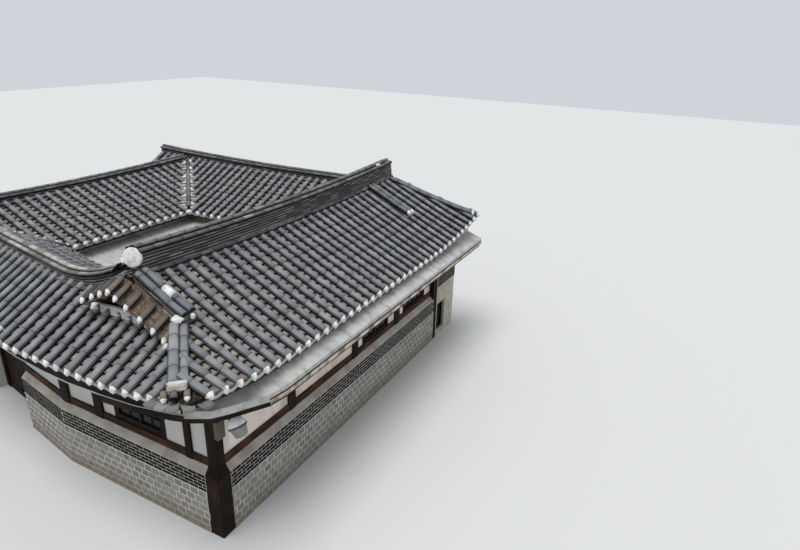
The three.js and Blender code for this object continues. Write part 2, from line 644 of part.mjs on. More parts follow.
// The plain bay at the far end of the east wall, with its low window
const farFace = (x) => [x, vergeY(x) - FAR_SET_BACK];
const farBack = (x) => [x, vergeY(x) - FAR_SET_BACK - WALL];
const [lowY0, lowY1, lowZ0, lowZ1] = LOW_WINDOW;
add("far_bay_wall", underRoof(cut(prism([[-WALL, EAST_END], [0, EAST_END], farFace(0), farFace(-WALL)], 0, 3400),
  [box(-WALL - 10, 10, lowY0, lowY1, lowZ0, lowZ1)])), limePlaster);
add("far_window", framed([[0, lowY0 + GAP], [0, lowY1 - GAP]], lowZ0 + GAP, lowZ1 - GAP, 60, 50), glass);

// Outer walls of the other wings
add("far_wall", underRoof(prism([farFace(-WALL - GAP), farFace(NORTH_END_WALL), [NORTH_END_WALL, NORTH_WALL],
  [NORTH_END_WALL - WALL, NORTH_WALL], farBack(NORTH_END_WALL - WALL), farBack(-WALL - GAP)], 0, 4300)), whitePlaster);
add("north_wall", underRoof(box(WEST_WALL + WALL + GAP, NORTH_END_WALL - WALL - GAP, NORTH_WALL - WALL, NORTH_WALL,
  0, 3400)), whitePlaster);
add("west_wall", underRoof(box(WEST_WALL, WEST_WALL + WALL, 730 + WALL + GAP, NORTH_WALL, 0, 3400)), whitePlaster);
add("west_near_wall", underRoof(wall(WEST_NEAR_LINE, 0, WALL, 0, 3400)), whitePlaster);

// Walls around the yard, with wide door openings
const door = (x0, x1, y0, y1) => box(x0, x1, y0, y1, FLOOR_TOP, YARD_DOOR_TOP);
add("east_yard_wall", underRoof(cut(box(EAST_YARD_WALL, EAST_YARD_WALL + YARD_WALL, 1430,
  NORTH_YARD_WALL + YARD_WALL, 0, 3400),
EAST_YARD_DOORS.map(([y0, y1]) => door(EAST_YARD_WALL - 10, EAST_YARD_WALL + YARD_WALL + 10, y0, y1)))),
whitePlaster);
add("north_yard_wall", underRoof(cut(box(WEST_YARD_WALL + GAP, EAST_YARD_WALL - GAP, NORTH_YARD_WALL,
  NORTH_YARD_WALL + YARD_WALL, 0, 3400),
NORTH_YARD_DOORS.map(([x0, x1]) => door(x0, x1, NORTH_YARD_WALL - 10, NORTH_YARD_WALL + YARD_WALL + 10)))),
whitePlaster);
add("west_yard_wall", underRoof(cut(box(WEST_YARD_WALL - YARD_WALL, WEST_YARD_WALL, 950,
  NORTH_YARD_WALL + YARD_WALL, 0, 3400),
WEST_YARD_DOORS.map(([y0, y1]) => door(WEST_YARD_WALL - YARD_WALL - 10, WEST_YARD_WALL + 10, y0, y1)))),
whitePlaster);
add("south_yard_wall", underRoof(cut(wall(YARD_LINE, 0, -YARD_WALL, 0, 3400),
  [door(...SOUTH_YARD_DOOR, 1000, 2000)])), whitePlaster);

// The gate in its recess: two fixed leaves of upright boards between posts
const gateAt = (t0, t1) => [t0, t1].map((t) =>
  [GATE_LINE[0][0] + (GATE_LINE[1][0] - GATE_LINE[0][0]) * t, GATE_LINE[0][1] + (GATE_LINE[1][1] - GATE_LINE[0][1]) * t]);
add("gate", underRoof(join([wall(gateAt(0, 0.08), 0, 150, 0, 3400), wall(gateAt(0.92, 1), 0, 150, 0, 3400),
  wall(gateAt(0.01, 0.99), 20, 130, 0, 160), wall(gateAt(0.01, 0.99), 20, 130, 2250, 3400),
  wall(gateAt(0.01, 0.497), 50, 100, 100, 2300), wall(gateAt(0.503, 0.99), 50, 100, 100, 2300)])), darkTimber);

// Floors
const insideSouth = [0, 1, 2].map((i) => offsetPoint(SOUTH_LINE, i, WALL + GAP));
const floorEnd = (x) => [x, vergeY(x) - FAR_SET_BACK - WALL - GAP];
add("east_floor", prism([[-WALL - GAP, WALL + GAP], floorEnd(-WALL - GAP), floorEnd(NORTH_END_WALL - WALL - GAP),
  [NORTH_END_WALL - WALL - GAP, NORTH_WALL - WALL - GAP], [EAST_YARD_WALL + WALL + GAP, NORTH_WALL - WALL - GAP],
  [EAST_YARD_WALL + WALL + GAP, NORTH_YARD_WALL],
  [EAST_YARD_WALL + YARD_WALL + GAP, NORTH_YARD_WALL], [EAST_YARD_WALL + YARD_WALL + GAP, 1230],
  [-5350 + YARD_WALL + GAP, 1480], [-5350 + YARD_WALL + GAP, 560], insideSouth[1]], 0, FLOOR_TOP), paving);
add("west_floor", prism([[WEST_WALL + WALL + GAP, 730 + WALL + GAP], [WEST_YARD_WALL - YARD_WALL - GAP, 730 + WALL + GAP],
  [WEST_YARD_WALL - YARD_WALL - GAP, NORTH_YARD_WALL + YARD_WALL + GAP],
  [EAST_YARD_WALL + WALL, NORTH_YARD_WALL + YARD_WALL + GAP],
  [EAST_YARD_WALL + WALL, NORTH_WALL - WALL - GAP], [WEST_WALL + WALL + GAP, NORTH_WALL - WALL - GAP]], 0, FLOOR_TOP),
paving);
add("yard_floor", prism([[WEST_YARD_WALL + GAP, 2050], [-5350 - GAP, 1705 + GAP], [-5350, 1705 + GAP],
  [EAST_YARD_WALL - GAP, 1430 + GAP], [EAST_YARD_WALL - GAP, NORTH_YARD_WALL - GAP],
  [WEST_YARD_WALL + GAP, NORTH_YARD_WALL - GAP]], 0, YARD_TOP), paving);

// Sheet-metal eaves
const eavePath = [[-120, -380], [200, -190], [360, 40], [500, 295], [650, 560], [700, 900], [700, 9000]];
add("east_awning", underRoof(sweep(eavePath, () => [[0, 2470], [20, 2470], [20, 2605], [380, 2740],
  [400, 2740], [400, 3200], [380, 3200], [380, 2760], [0, 2625]])), sheetMetal);
const yardAwningPath = [[WEST_YARD_EAVE, 2300], [WEST_YARD_EAVE, NORTH_YARD_EAVE],
  [EAST_YARD_EAVE, NORTH_YARD_EAVE], [EAST_YARD_EAVE, 2300]];
add("yard_awning", underRoof(sweep(yardAwningPath, () => [[-YARD_AWNING_OUT, 2440], [250, 2590], [250, 3200],
  [230, 3200], [230, 2610], [-YARD_AWNING_OUT, 2462]])), sheetMetal);
const stripPath = [[-4200, -510], [-3600, -590], [-2800, -645], [-2200, -660], [-1500, -620], [-900, -565],
  [-300, -440]];
add("south_eave_strip", underRoof(wall(stripPath, 0, 15, 2555, 2900)), sheetMetal);

// Corner lamp: a dome and a ribbed glass on a short arm, with a box beside it on the column
const lampSteps = [[0, 1740], [90, 1740], [110, 1770], [120, 2090], [150, 2110], [150, 2170], [110, 2280],
  [50, 2345], [0, 2350]];
const lampShade = new THREE.LatheGeometry(lampSteps.map(([r, z]) => new THREE.Vector2(r, z)), 20);
lampShade.rotateX(Math.PI / 2);
lampShade.translate(200, 350, 0);
add("corner_lamp", join([lampShade, box(-COLUMN_FACE + GAP, 220, 170, 210, 2200, 2240),
  box(180, 220, 170, 350, 2200, 2240), box(-COLUMN_FACE + GAP, -70, 180, 200, 2130, 2210),
  box(-COLUMN_FACE + GAP, -40, 110, 270, 1820, 2140)]), lampMetal);

// The origin of the part is the middle of its plan, on the ground
const middle = new THREE.Box3().setFromObject(house).getCenter(new THREE.Vector3());
house.position.set(-middle.x, -middle.y, 0);

export default house;
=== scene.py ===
# %% [markdown]
# # A courtyard hanok
# Four tiled wings stand round a small yard. The frame holds the walls, the roof slopes and the timber at
# their real sizes. This script lays the tiles, builds the ridges and the masonry, and gives each surface
# its finish. Everything is in metres. The near corner of the street walls is the point that the plan is
# measured from: x grows to the east, y runs back along the east wall, and z is the height.

# %% Load the frame
import math

import bmesh
import bpy
import numpy as np
from mathutils import Matrix, Vector
from mathutils.bvhtree import BVHTree


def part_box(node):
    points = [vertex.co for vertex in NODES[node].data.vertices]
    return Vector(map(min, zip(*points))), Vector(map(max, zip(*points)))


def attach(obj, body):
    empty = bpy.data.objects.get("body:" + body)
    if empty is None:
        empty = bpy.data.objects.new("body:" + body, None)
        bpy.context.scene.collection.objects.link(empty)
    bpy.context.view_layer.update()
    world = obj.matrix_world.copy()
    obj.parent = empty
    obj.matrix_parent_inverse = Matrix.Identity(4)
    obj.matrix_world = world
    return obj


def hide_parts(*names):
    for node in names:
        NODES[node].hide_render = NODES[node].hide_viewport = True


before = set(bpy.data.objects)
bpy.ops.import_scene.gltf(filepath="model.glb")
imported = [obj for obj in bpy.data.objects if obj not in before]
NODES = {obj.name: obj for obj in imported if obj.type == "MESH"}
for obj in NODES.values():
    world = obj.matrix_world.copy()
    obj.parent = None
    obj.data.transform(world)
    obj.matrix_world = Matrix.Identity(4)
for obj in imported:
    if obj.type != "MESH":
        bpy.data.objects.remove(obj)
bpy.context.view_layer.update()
PIER_LOW, PIER_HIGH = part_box("corner_pier")
CORNER = Vector((PIER_HIGH.x, PIER_LOW.y, 0.0))
ROOF_ZERO = 1.166
chance = np.random.default_rng(11)
UP = Vector((0.0, 0.0, 1.0))
print("nodes in the frame:", len(NODES))


def at(x, y, z=0.0):
    return CORNER + Vector((x, y, z))


def on_roof(x, y, above):
    """A place by its height above the level that the roof was measured from."""
    return at(x, y, ROOF_ZERO + above)


# %% [markdown]
# ## The camera
# The view is the one of a person on a stair above the near corner. Its place and turns were worked out from
# the joints between the bricks, which repeat every 200 mm along both street walls.

# %% Camera
IMAGE_WIDTH = 800
FOCAL_PIXELS = 601.0
SENSOR = 36.0
CAMERA_PLACE = (5.753, -5.203, 7.657)
CAMERA_YAW = 27.57
CAMERA_PITCH = 22.36
CAMERA_ROLL = 1.70


def set_camera():
    data = bpy.data.cameras.new("view")
    data.sensor_width = SENSOR
    data.lens = SENSOR * FOCAL_PIXELS / IMAGE_WIDTH
    camera = bpy.data.objects.new("view", data)
    bpy.context.scene.collection.objects.link(camera)
    turn = Matrix.Rotation(math.radians(CAMERA_YAW), 4, "Z")
    tip = Matrix.Rotation(math.radians(90 - CAMERA_PITCH), 4, "X")
    roll = Matrix.Rotation(math.radians(CAMERA_ROLL), 4, "Z")
    camera.matrix_world = Matrix.Translation(at(*CAMERA_PLACE)) @ turn @ tip @ roll
    bpy.context.scene.camera = camera
    print("camera at", [round(value, 2) for value in camera.matrix_world.translation])


set_camera()


# %% [markdown]
# ## Shader maths
# A material is a small sum over noises and masks. One class wraps a socket, so that the sum is written as
# Python, and its `node` method makes every other node.

# %% Sockets that can be added and multiplied
class Wire:
    """A value on its way through the nodes of a material."""

    def __init__(self, tree, socket):
        self.tree = tree
        self.socket = socket

    def node(self, kind, settings, inputs, output=0):
        made = self.tree.nodes.new(kind)
        for key, value in settings.items():
            if key == "stops":
                set_stops(made.color_ramp, value)
            else:
                setattr(made, key, value)
        for key, value in inputs.items():
            if isinstance(value, Wire):
                self.tree.links.new(value.socket, made.inputs[key])
            else:
                made.inputs[key].default_value = value
        return Wire(self.tree, made.outputs[output])

    def sum(self, operation, first, second):
        return self.node("ShaderNodeMath", {"operation": operation}, {0: first, 1: second})

    def __add__(self, other):
        return self.sum("ADD", self, other)

    def __rsub__(self, other):
        return self.sum("SUBTRACT", other, self)

    def __mul__(self, other):
        return self.sum("MULTIPLY", self, other)

    __radd__ = __add__
    __rmul__ = __mul__

    def noise(self, scale, detail=4.0, stretch=(1.0, 1.0, 1.0)):
        place = self.node("ShaderNodeMapping", {}, {"Vector": self, "Scale": stretch})
        return self.node("ShaderNodeTexNoise", {}, {"Vector": place, "Scale": scale, "Detail": detail})

    def ramp(self, *stops):
        return self.node("ShaderNodeValToRGB", {"stops": stops}, {"Fac": self})

    def band(self, low, high):
        settings = {"interpolation_type": "SMOOTHSTEP"}
        return self.node("ShaderNodeMapRange", settings, {"Value": self, "From Min": low, "From Max": high})

    def mix(self, first, second):
        return self.node("ShaderNodeMix", {"data_type": "RGBA"}, {0: self, 6: first, 7: second}, 2)

    def bump(self, distance, strength=1.0):
        return self.node("ShaderNodeBump", {}, {"Height": self, "Distance": distance, "Strength": strength})


def set_stops(ramp, stops):
    while len(ramp.elements) < len(stops):
        ramp.elements.new(1.0)
    for element, (position, color) in zip(ramp.elements, stops):
        element.position = position
        element.color = (*color, 1.0)


def rgb(*color):
    return (*color, 1.0)


def finish(name, recipe, **constants):
    """A material whose recipe returns what varies: the sockets of the shader by name."""
    made = bpy.data.materials.new(name)
    made.use_nodes = True
    tree = made.node_tree
    shader = tree.nodes["Principled BSDF"]
    for key, value in constants.items():
        shader.inputs[key.replace("_", " ")].default_value = value
    place = Wire(tree, tree.nodes.new("ShaderNodeTexCoord").outputs["Object"])
    tone = place.node("ShaderNodeAttribute", {"attribute_name": "tone"}, {}, "Fac")
    for key, wire in recipe(place, tone).items():
        tree.links.new(wire.socket, shader.inputs[key])
    return made


# %% [markdown]
# ## Two kinds of recipe
# Most finishes here are of two kinds. Fired clay has a ramp of colours over each tile's own tone, with
# spots of one more colour. Plaster, paint and earth have two colours, and the second shows where a noise is
# strong. Each kind is a function that makes the recipe, so that a finish is only its numbers.

# %% Recipes for clay and for plain surfaces
def toned(stops, scale, spot, share, spread=(0.5, 0.7), rough=(0.75, 0.2), depth=0.005, patch=None):
    """Colours over the tone, with spots where the grain or a wider patch noise is strong."""
    def recipe(place, tone):
        grain = place.noise(scale)
        spots = place.noise(patch) if patch else grain
        color = (spots.band(*spread) * share).mix(tone.ramp(*stops), rgb(*spot))
        return {"Base Color": color, "Roughness": rough[0] + rough[1] * grain,
                "Normal": grain.bump(depth, 0.6)}
    return recipe


def patchy(clean, dirty, patch, spread, share=1.0, rough=(0.5, 0.3), grain=None, bump=None):
    """Two colours mixed by a patch noise. A grain noise, where given, makes the roughness and the bump."""
    def recipe(place, tone):
        dirt = place.noise(*patch)
        fine = place.noise(*grain) if grain else dirt
        look = {"Base Color": (dirt.band(*spread) * share).mix(rgb(*clean), rgb(*dirty)),
                "Roughness": rough[0] + rough[1] * fine}
        if bump:
            look["Normal"] = fine.bump(*bump)
        return look
    return recipe


# %% [markdown]
# ## Fired clay
# Roof tiles are dark grey clay, no two quite alike. Each tile carries a number called tone, and the colour
# comes from that number and from noises. The lowest tones, on faces marked dark or dim, are painted shade.
# The round tiles are blue-grey. The hollow tiles between them hold dust, so they are paler and browner. Short
# tiles on verges and across valleys are older and more brown. Dark clay shines little, so its specular level
# is low.

# %% Tile finishes
def round_tile_recipe(place, tone):
    grain = place.noise(90.0)
    weather = place.noise(3.0)
    # The low stops of this ramp are painted shade, taken by the end caps and flanks; the top faces take the
    # upper stops.
    base = tone.ramp((0.0, (0.012, 0.013, 0.016)), (0.3, (0.035, 0.037, 0.042)), (0.5, (0.075, 0.079, 0.088)),
                     (0.65, (0.155, 0.161, 0.174)), (0.9, (0.25, 0.257, 0.27)), (1.0, (0.36, 0.36, 0.355)))
    dusty = (weather.band(0.5, 0.8) * 0.3).mix(base, rgb(0.24, 0.235, 0.215))
    color = (grain * 0.25).mix(dusty, rgb(0.05, 0.05, 0.055))
    return {"Base Color": color, "Roughness": 0.5 + 0.3 * weather, "Normal": grain.bump(0.006, 0.6)}


def clay_recipe(place, tone):
    lumps = place.noise(22.0)
    color = lumps.ramp((0.3, (0.07, 0.05, 0.035)), (0.5, (0.14, 0.10, 0.072)), (0.7, (0.23, 0.18, 0.135)))
    return {"Base Color": color, "Roughness": 0.9 + 0.05 * lumps, "Normal": lumps.bump(0.02, 0.7)}


# In the hollow, ridge, cross and verge ramps the stop at 0.0 is near black: painted shade for faces marked
# dark.
HOLLOW_STOPS = ((0.0, (0.012, 0.012, 0.011)), (0.01, (0.18, 0.176, 0.155)), (0.5, (0.255, 0.249, 0.22)),
                (0.97, (0.35, 0.34, 0.30)), (0.985, (0.25, 0.165, 0.12)))
DRIP_STOPS = ((0.0, (0.26, 0.255, 0.24)), (0.6, (0.46, 0.45, 0.42)), (1.0, (0.60, 0.59, 0.56)))
RIDGE_STOPS = ((0.0, (0.012, 0.012, 0.012)), (0.06, (0.035, 0.036, 0.037)), (0.5, (0.11, 0.11, 0.107)),
               (0.78, (0.20, 0.20, 0.19)), (1.0, (0.44, 0.42, 0.37)))
CROSS_STOPS = ((0.0, (0.012, 0.012, 0.011)), (0.05, (0.30, 0.27, 0.22)), (0.4, (0.62, 0.60, 0.55)),
               (0.75, (0.48, 0.36, 0.27)), (1.0, (0.66, 0.65, 0.61)))
VERGE_STOPS = ((0.0, (0.012, 0.012, 0.011)), (0.1, (0.10, 0.095, 0.085)), (0.6, (0.17, 0.155, 0.125)),
               (1.0, (0.26, 0.22, 0.16)))
ROUND_TILE = finish("round_tile", round_tile_recipe, Specular_IOR_Level=0.2)
HOLLOW_TILE = finish("hollow_tile", toned(HOLLOW_STOPS, 70.0, (0.17, 0.165, 0.145), 0.45, (0.45, 0.7),
                                          patch=9.0), Specular_IOR_Level=0.1)
DRIP_TILE = finish("drip_tile", toned(DRIP_STOPS, 40.0, (0.16, 0.15, 0.13), 0.5, (0.45, 0.7)))
RIDGE_TILE = finish("ridge_tile_layers", toned(RIDGE_STOPS, 60.0, (0.15, 0.10, 0.065), 0.5, (0.58, 0.68),
                                               (0.7, 0.2), 0.004, 1.9), Specular_IOR_Level=0.15)
CROSS_TILE = finish("cross_tile", toned(CROSS_STOPS, 40.0, (0.14, 0.13, 0.115), 0.3), Specular_IOR_Level=0.1)
VERGE_TILE = finish("verge_tile", toned(VERGE_STOPS, 50.0, (0.08, 0.075, 0.07), 0.4, rough=(0.7, 0.2)),
                    Specular_IOR_Level=0.1)
LIME = finish("lime_ends", patchy((0.76, 0.76, 0.75), (0.30, 0.285, 0.26), (14.0,), (0.4, 0.75), 0.7,
                                  (0.8, 0.1), bump=(0.008, 0.6)))
CLAY = finish("clay_bedding", clay_recipe, Specular_IOR_Level=0.1)
# The bed between the tiles is clay darkened to near black: painted shade for the gaps between the rows.
BEDDING_WITH_PAINTED_SHADE = finish("bedding_with_painted_shade", patchy((0.014, 0.012, 0.010), (0.05, 0.042, 0.034), (18.0,), (0.4, 0.7),
                                        rough=(0.9, 0.05)), Specular_IOR_Level=0.05)
print("tile finishes made")


# %% [markdown]
# ## Stone, brick and plaster
# The lower wall is grey granite in small blocks with raised white joints, under five courses of black
# brick. Above come a beige cap and plaster between the posts, white with grey grime and warmer with brown
# runs on the east wall. Splashed earth has turned the foot of the stone brown.

# %% Wall finishes
def foot_stain(place):
    """How brown the foot of a wall is: all of it at the ground and nothing above half a metre."""
    height = place.node("ShaderNodeSeparateXYZ", {}, {0: place}, 2)
    return (0.45 - height + 0.35 * place.noise(3.0, 6.0)).band(0.15, 0.6)


def granite_recipe(place, tone):
    speckle = place.noise(160.0, 2.0)
    cloud = place.noise(7.0)
    base = tone.ramp((0.0, (0.19, 0.187, 0.172)), (0.5, (0.24, 0.235, 0.215)), (1.0, (0.29, 0.28, 0.255)))
    dark = (speckle.band(0.45, 0.62) * 0.45).mix(base, rgb(0.09, 0.09, 0.086))
    worn = (cloud.band(0.5, 0.75) * 0.4).mix(dark, rgb(0.27, 0.24, 0.20))
    color = (foot_stain(place) * 0.6).mix(worn, rgb(0.17, 0.135, 0.09))
    return {"Base Color": color, "Roughness": 0.8 + 0.15 * speckle, "Normal": speckle.bump(0.004, 0.7)}


def mortar_recipe(place, tone):
    grain = place.noise(60.0)
    clean = place.noise(2.5).band(0.35, 0.7).mix(rgb(0.66, 0.645, 0.60), rgb(0.50, 0.475, 0.42))
    color = (foot_stain(place) * 0.7).mix(clean, rgb(0.30, 0.25, 0.175))
    return {"Base Color": color, "Roughness": 0.85 + 0.1 * grain, "Normal": grain.bump(0.003, 0.5)}


def street_plaster_recipe(place, tone):
    dirt = place.noise(1.3, 6.0)
    runs = place.noise(5.0, 5.0, (1.0, 1.0, 0.15))
    warm = dirt.band(0.3, 0.75).mix(rgb(0.80, 0.74, 0.67), rgb(0.60, 0.52, 0.43))
    color = (runs.band(0.52, 0.74) * 0.45).mix(warm, rgb(0.33, 0.25, 0.18))
    return {"Base Color": color, "Roughness": 0.85 + 0.1 * dirt, "Normal": dirt.bump(0.002, 0.4)}


def beige_wall_recipe(place, tone):
    rough = place.noise(30.0, 6.0)
    base = place.noise(4.0).band(0.35, 0.7).mix(rgb(0.52, 0.48, 0.40), rgb(0.36, 0.33, 0.27))
    color = (rough.band(0.5, 0.7) * 0.5).mix(base, rgb(0.20, 0.18, 0.15))
    return {"Base Color": color, "Roughness": 0.85 + 0.1 * rough, "Normal": rough.bump(0.02, 0.8)}


BRICK_STOPS = ((0.0, (0.006, 0.006, 0.007)), (0.8, (0.018, 0.017, 0.017)), (1.0, (0.045, 0.038, 0.034)))
GRANITE = finish("granite_blocks", granite_recipe)
MORTAR = finish("raised_joints", mortar_recipe)
BRICK = finish("black_brick", toned(BRICK_STOPS, 80.0, (0.06, 0.057, 0.054), 0.3, (0.55, 0.75), (0.6, 0.3),
                                    0.003), Specular_IOR_Level=0.1)
CAP = finish("cap_render", patchy((0.46, 0.425, 0.37), (0.32, 0.285, 0.235), (3.0, 5.0), (0.35, 0.7),
                                  rough=(0.85, 0.1), grain=(45.0,), bump=(0.003, 0.5)))
WHITE_PLASTER = finish("white_wall_plaster", patchy(
    (0.52, 0.52, 0.49), (0.36, 0.35, 0.315), (1.3, 5.0, (1.0, 1.0, 0.4)), (0.45, 0.75), 0.5, (0.8, 0.1),
    (5.0, 6.0), (0.006, 0.4)))
BEIGE_WALL = finish("beige_rough_wall", beige_wall_recipe)
STREET_PLASTER = finish("warm_street_plaster", street_plaster_recipe)
PAVING = finish("yard_stone", patchy((0.36, 0.34, 0.31), (0.22, 0.21, 0.19), (1.2,), (0.35, 0.7),
                                     rough=(0.85, 0.1), grain=(40.0,), bump=(0.005, 0.6)))
print("wall finishes made")


# %% [markdown]
# ## Timber, sheet metal and glass
# The timber is stained nearly black and has weathered along its grain. A stretched noise makes the grain:
# long in z on posts, long in x and y on beams. The awning is pale painted sheet with dirt that has run
# outwards and a little rust.

# %% Timber, metal and glass finishes
def grained(dark, light, stretch):
    def recipe(place, tone):
        grain = place.noise(1.0, 8.0, stretch)
        wear = place.noise(2.2, 5.0)
        lit = wear.band(0.45, 0.75) * 0.4 + grain.band(0.4, 0.7) * 0.4 + tone * 0.15
        return {"Base Color": lit.mix(rgb(*dark), rgb(*light)), "Roughness": 0.5 + 0.35 * grain,
                "Normal": grain.bump(0.006, 0.8)}
    return recipe


def sheet_recipe(place, tone):
    dirt = place.noise(2.5, 6.0)
    runs = place.noise(7.0, 5.0, (0.12, 1.0, 1.0))
    rust = place.noise(2.1, 8.0, (0.5, 1.0, 1.0))
    washed = dirt.band(0.3, 0.9).mix(rgb(0.52, 0.525, 0.50), rgb(0.36, 0.36, 0.335))
    streaked = (runs.band(0.46, 0.72) * 0.55).mix(washed, rgb(0.19, 0.185, 0.165))
    color = (rust.band(0.60, 0.70) * 0.5).mix(streaked, rgb(0.27, 0.17, 0.11))
    return {"Base Color": color, "Roughness": 0.4 + 0.3 * dirt, "Normal": place.noise(30.0).bump(0.001, 0.4)}


def pane_recipe(place, tone):
    # The near-black colour is painted shade for the unlit room behind the glass; the smear is dirt on it.
    smear = place.noise(6.0)
    color = (smear * 0.6).mix(rgb(0.006, 0.006, 0.006), rgb(0.02, 0.02, 0.02))
    return {"Base Color": color, "Roughness": 0.08 + 0.2 * smear}


UPRIGHT = (45.0, 45.0, 3.0)
LYING = (2.5, 2.5, 60.0)
UPRIGHT_TIMBER = finish("post_timber", grained((0.005, 0.0035, 0.003), (0.045, 0.022, 0.013), UPRIGHT),
                        Specular_IOR_Level=0.1)
LYING_TIMBER = finish("beam_timber", grained((0.006, 0.0045, 0.0035), (0.042, 0.025, 0.016), LYING),
                      Specular_IOR_Level=0.1)
RED_TIMBER = finish("sill_timber", grained((0.012, 0.007, 0.005), (0.17, 0.066, 0.030), LYING),
                    Specular_IOR_Level=0.1)
SHEET = finish("awning_sheet", sheet_recipe, Metallic=0.1)
FASCIA = finish("cream_fascia", patchy((0.62, 0.54, 0.44), (0.20, 0.15, 0.115), (4.0, 6.0), (0.40, 0.64)))
ENAMEL = finish("white_enamel", patchy((0.80, 0.81, 0.82), (0.40, 0.385, 0.36), (12.0,), (0.5, 0.8), 0.5,
                                       (0.25, 0.3)))
BOX_PAINT = finish("box_paint", patchy((0.10, 0.12, 0.09), (0.13, 0.09, 0.06), (16.0,), (0.4, 0.7),
                                       rough=(0.6, 0.3)), Specular_IOR_Level=0.2)
PANE = finish("window_pane", pane_recipe, Specular_IOR_Level=0.12)
LAMP_GLASS = finish("ribbed_lamp_glass", patchy((0.36, 0.36, 0.35), (0.20, 0.19, 0.175), (25.0,), (0.35, 0.7),
                                                rough=(0.12, 0.3)), Transmission_Weight=0.2)
print("timber, metal and glass finishes made")


# %% [markdown]
# ## Helpers for small repeated pieces
# A roof has thousands of tiles. One tile is shaped with bmesh operators, and a list of matrices says where
# each copy lies. The copies are joined into one mesh, and every copy gets its own tone. A face of the shape
# that is marked as dark gets no tone at all: this is painted shade, which keeps the open ends of the tiles,
# the lowest flanks of the round tiles and the covered part of the hollow tiles dark. A face marked as dim, on
# the flank of a round tile, gets a share of it, a lighter painted shade.

# %% Copies of one shape joined into a mesh
# Marks for painted shade: a dark face takes none of its copy's tone, and a dim one a little over half.
PAINTED_SHADE = 1
PAINTED_HALF_SHADE = 2
SHARE_OF_TONE = (1.0, 0.0, 0.58)


def hold(name, mesh, look, replaced=()):
    piece = bpy.data.objects.new(name, mesh)
    bpy.context.scene.collection.objects.link(piece)
    mesh.materials.clear()
    mesh.materials.append(look)
    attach(piece, "root")
    if replaced:
        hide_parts(*replaced)
    return piece


def copies(name, shape, places, look, tones=None, replaced=()):
    """One object made of copies of a shape, one for each matrix."""
    corners = np.array([vertex.co[:] for vertex in shape.verts])
    spots = np.array([[row[:] for row in place] for place in places])
    moved = np.einsum("kij,nj->kni", spots[:, :3, :3], corners) + spots[:, None, :3, 3]
    rings = [[vertex.index for vertex in face.verts] for face in shape.faces]
    faces = [[index + turn * len(corners) for index in ring] for turn in range(len(spots)) for ring in rings]
    mesh = bpy.data.meshes.new(name)
    mesh.from_pydata(moved.reshape(-1, 3).tolist(), [], faces)
    mesh.polygons.foreach_set("use_smooth", [face.smooth for face in shape.faces] * len(spots))
    if tones is None:
        tones = chance.random(len(spots))
    lit = [SHARE_OF_TONE[face.material_index] for face in shape.faces]
    tone = mesh.attributes.new("tone", "FLOAT", "FACE")
    tone.data.foreach_set("value", np.outer(tones, lit).astype(np.float32).ravel())
    print(f"{name}: {len(spots)} copies, {sum(len(ring) - 2 for ring in rings) * len(spots)} triangles")
    return hold(name, mesh, look, replaced)


def seat(spot, across, along, out):
    """The matrix that takes X to across, Y to along, Z to out and the origin to a spot."""
    turned = Matrix((across, along, out)).transposed().to_4x4()
    turned.translation = spot
    return turned


def shape_up(shape, flat_beyond=0.0):
    """Turns a shape's faces outwards and smooths those that don't look along Y."""
    bmesh.ops.recalc_face_normals(shape, faces=shape.faces)
    for face in shape.faces:
        face.smooth = abs(face.normal.y) < flat_beyond
    shape.verts.index_update()
    return shape


# %% [markdown]
# ## Two tiles and a lime end
# The round tile is a half pipe whose lower end laps over the next one below, so it narrows up the slope.
# Its end caps and lower flanks carry painted shade, which leaves the top as the lit part. The hollow tile is
# a shallow trough, tipped so that its lower edge stands proud of the next; the front of that edge and the
# upper part, which lies under the next tile, carry painted shade. Both are a profile, spun from one point and
# pulled along Y. The lime end is white plaster that closes a row: round above, where it fills the half pipe,
# narrower below, where it runs down between two troughs, and drawn to a blunt point.

# %% Tile shapes
ROUND_LOW = 0.079
ROUND_HIGH = 0.076
ROUND_SINK = -0.012
PAINTED_SHADE_BELOW = 0.25
PAINTED_HALF_SHADE_BELOW = 0.6
TROUGH_RADIUS = 0.21
TROUGH_CHORD = 0.21
TROUGH_THICK = 0.030
TROUGH_TILT = 0.030
SHADED_FROM = 0.80
LIME_RADIUS = 0.075
LIME_CHIN = 0.62
LIME_REACH = (0, -0.062, -0.014)
LIME_POINT = (0.42, 1, 0.50)


def pull(shape, faces, offset):
    """Extrudes faces by an offset and returns the new corners."""
    made = bmesh.ops.extrude_face_region(shape, geom=faces)["geom"]
    fresh = [item for item in made if isinstance(item, bmesh.types.BMVert)]
    bmesh.ops.translate(shape, vec=offset, verts=fresh)
    return fresh


def round_tile():
    shape = bmesh.new()
    start = bmesh.ops.create_vert(shape, co=(ROUND_LOW, 0.0, ROUND_SINK))["vert"]
    bmesh.ops.spin(shape, geom=start, axis=(0, -1, 0), cent=(0, 0, ROUND_SINK), angle=math.pi, steps=8)
    bmesh.ops.contextual_create(shape, geom=shape.edges[:])
    top = pull(shape, shape.faces[:], (0, 1, 0))
    narrow = ROUND_HIGH / ROUND_LOW
    bmesh.ops.scale(shape, vec=(narrow, 1, narrow), verts=top)
    shape_up(shape, 0.5)
    # Painted shade: the end caps and the lowest flank strips are marked dark and the strips above them dim,
    # so only the top strips take the full tone.
    for face in shape.faces:
        in_painted_shade = abs(face.normal.y) > 0.5 or face.normal.z < PAINTED_SHADE_BELOW
        face.material_index = PAINTED_SHADE if in_painted_shade else PAINTED_HALF_SHADE if face.normal.z < PAINTED_HALF_SHADE_BELOW else 0
    return shape


